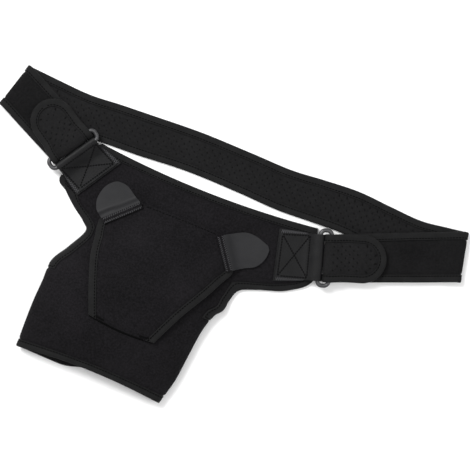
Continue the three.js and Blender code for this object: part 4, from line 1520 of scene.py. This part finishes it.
def make_studio(bounds):
    make_floor(bounds)
    for light in LIGHTS:
        make_light(*light)
    world = bpy.data.worlds.new("studio")
    world.use_nodes = True
    background = world.node_tree.nodes["Background"]
    background.inputs["Color"].default_value = (1, 1, 1, 1)
    background.inputs["Strength"].default_value = WORLD_STRENGTH
    bpy.context.scene.world = world
    bpy.context.scene.view_settings.view_transform = "Standard"


def make_camera(bounds):
    low, high = (np.array(corner) for corner in bounds)
    data = bpy.data.cameras.new("camera")
    data.sensor_width = SENSOR_WIDTH
    width_in_frame = (high[0] - low[0]) * FRAME_PIXELS / BRACE_PIXELS
    data.lens = SENSOR_WIDTH * (CAMERA_DISTANCE - EDGE_HEIGHT) / width_in_frame
    data.clip_end = 20
    camera = bpy.data.objects.new("camera", data)
    camera.location = (*((low + high)[:2] / 2 + CAMERA_ASIDE), CAMERA_DISTANCE)
    bpy.context.scene.collection.objects.link(camera)
    bpy.context.scene.camera = camera


class Builder:
    """Makes the brace's pieces in the order in which they lie on each other."""

    def __init__(self, maker, materials):
        self.maker = maker
        self.materials = materials

    def piece(self, name, node, mesh, material, slot, **more):
        made = self.maker.mesh(name, *mesh, self.materials[material], slot, **more)
        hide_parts(node)
        return made

    def threads(self, name, segments, material, slot="tape", radius=THREAD_RADIUS):
        return self.maker.mesh(name, *thread_mesh(segments, radius), self.materials[material], slot)

    def sleeve(self, sheet):
        body = thicken(sheet)
        tapes = {mark: fold_tape(sheet, mark) for mark in ("cuff", "neck", "armpit")}
        cloth = self.piece("sleeve_cloth", "sleeve_body", body, "knitted_neoprene", "neoprene")
        goes_with = [self.piece(f"{mark}_tape", f"{mark}_binding", mesh, "bound_tape", "tape")
                     for mark, mesh in tapes.items()]
        goes_with.append(self.threads("sleeve_tape_stitches", tape_stitches(sheet, *tapes), "tape_thread"))
        return [body, *tapes.values()]

    def flap(self, sleeve_meshes):
        sheet = flap_sheet(tree_of(*sleeve_meshes))
        body = thicken(sheet)
        tapes = {side: fold_tape(sheet, side) for side in ("rear", "front")}
        cloth = self.piece("flap_cloth", "compression_flap", body, "knitted_neoprene", "neoprene")
        goes_with = [self.piece(f"flap_{side}_tape", f"flap_binding_{side}", mesh, "bound_tape", "tape")
                     for side, mesh in tapes.items()]
        goes_with.append(self.threads("flap_tape_stitches", tape_stitches(sheet, *tapes), "tape_thread"))
        meshes = [*sleeve_meshes, body, *tapes.values()]
        tree = tree_of(*meshes)
        goes_with.append(self.threads("flap_seam_stitches", flap_seam_stitches(tree), "seam_thread_and_edge_shade"))
        # Painted shade: dark stitches along the flap's upper edge, for the shade of the fold there.
        goes_with.append(self.threads("flap_edge_shade_stitches", flap_edge_shade_stitches(tree), "seam_thread_and_edge_shade"))
        return meshes

    def tab(self, name, tab, side, turn, under_tree):
        seam, degrees = flap_seam(side)
        sheet = tab_sheet(tab, seam, degrees + turn, under_tree)
        mesh = thicken(sheet)
        lap = marked(sheet, "lap")
        on_lap = [all(index % len(sheet.points) in lap for index in face) for face in mesh[1]]
        cloth = self.piece(f"{name}_cloth", name, mesh, "brushed_tab", "tab_cloth",
                           second=self.materials["knitted_neoprene"], on_second=on_lap)
        segments = tab_stitches(tab, seam, degrees + turn, tree_of(mesh))
        threads = self.threads(f"{name}_stitches", segments, "pale_thread", radius=TAB_THREAD_RADIUS)

    def strap(self, sheet):
        mesh = thicken(sheet)
        on_back = [min(face) >= len(sheet.points) for face in mesh[1]]
        cloth = self.piece("strap_cloth", "strap", mesh, "strap_face", "strap_neoprene",
                           holes=marked(sheet, "hole"), on_second=on_back,
                           second=self.materials["strap_back"])
        tape = self.piece("strap_tape", "strap_binding", fold_tape(sheet, "strap"), "bound_tape", "tape")
        threads = self.threads("strap_tape_stitches", tape_stitches(sheet, "strap"), "tape_thread")

    def strap_end(self, end, sleeve_tree):
        name = end["name"]
        self.piece(f"ring_{name}_moulded", f"ring_{name}", ring_mesh(end), "moulded_ring", "ring_plastic")
        sheet = anchor_sheet(end, sleeve_tree)
        leather = thicken(sheet)
        loop = self.piece(f"anchor_{name}_leather", f"anchor_{name}", leather, "grained_loop", "leather_loop")
        tree = tree_of(leather)
        box = self.threads(f"anchor_{name}_box_stitches", box_stitches(end, tree), "sunk_thread",
                           "leather_loop", BOX_THREAD_RADIUS)
        margins = self.threads(f"anchor_{name}_margin_stitches", margin_stitches(end, tree), "pale_thread",
                               "leather_loop", MARGIN_THREAD_RADIUS)
        pad = self.piece(f"hook_pad_{name}_cloth", f"hook_pad_{name}", pad_mesh(end),
                         "brushed_tab", "tab_cloth")


def main():
    make_studio(CAD_BOX)
    make_camera(CAD_BOX)
    sleeve = sleeve_sheet()
    strap = strap_sheet()
    outer_points = np.concatenate([fold_tape(strap, "strap")[0], fold_tape(sleeve, "cuff")[0]])
    middle = (outer_points.min(axis=0) + outer_points.max(axis=0)) / 2
    builder = Builder(Maker(shift_to_frame(CAD_BOX) - at_height(middle, 0)), make_materials())

    sleeve_meshes = builder.sleeve(sleeve)
    flap_tree = tree_of(*builder.flap(sleeve_meshes))
    builder.tab("upper_tab", UPPER_TAB, "left", 90, flap_tree)
    builder.tab("side_tab", SIDE_TAB, "right", -90, flap_tree)
    builder.strap(strap)
    sleeve_tree = tree_of(*sleeve_meshes)
    for end in (LEFT_END, RIGHT_END):
        builder.strap_end(end, sleeve_tree)


main()
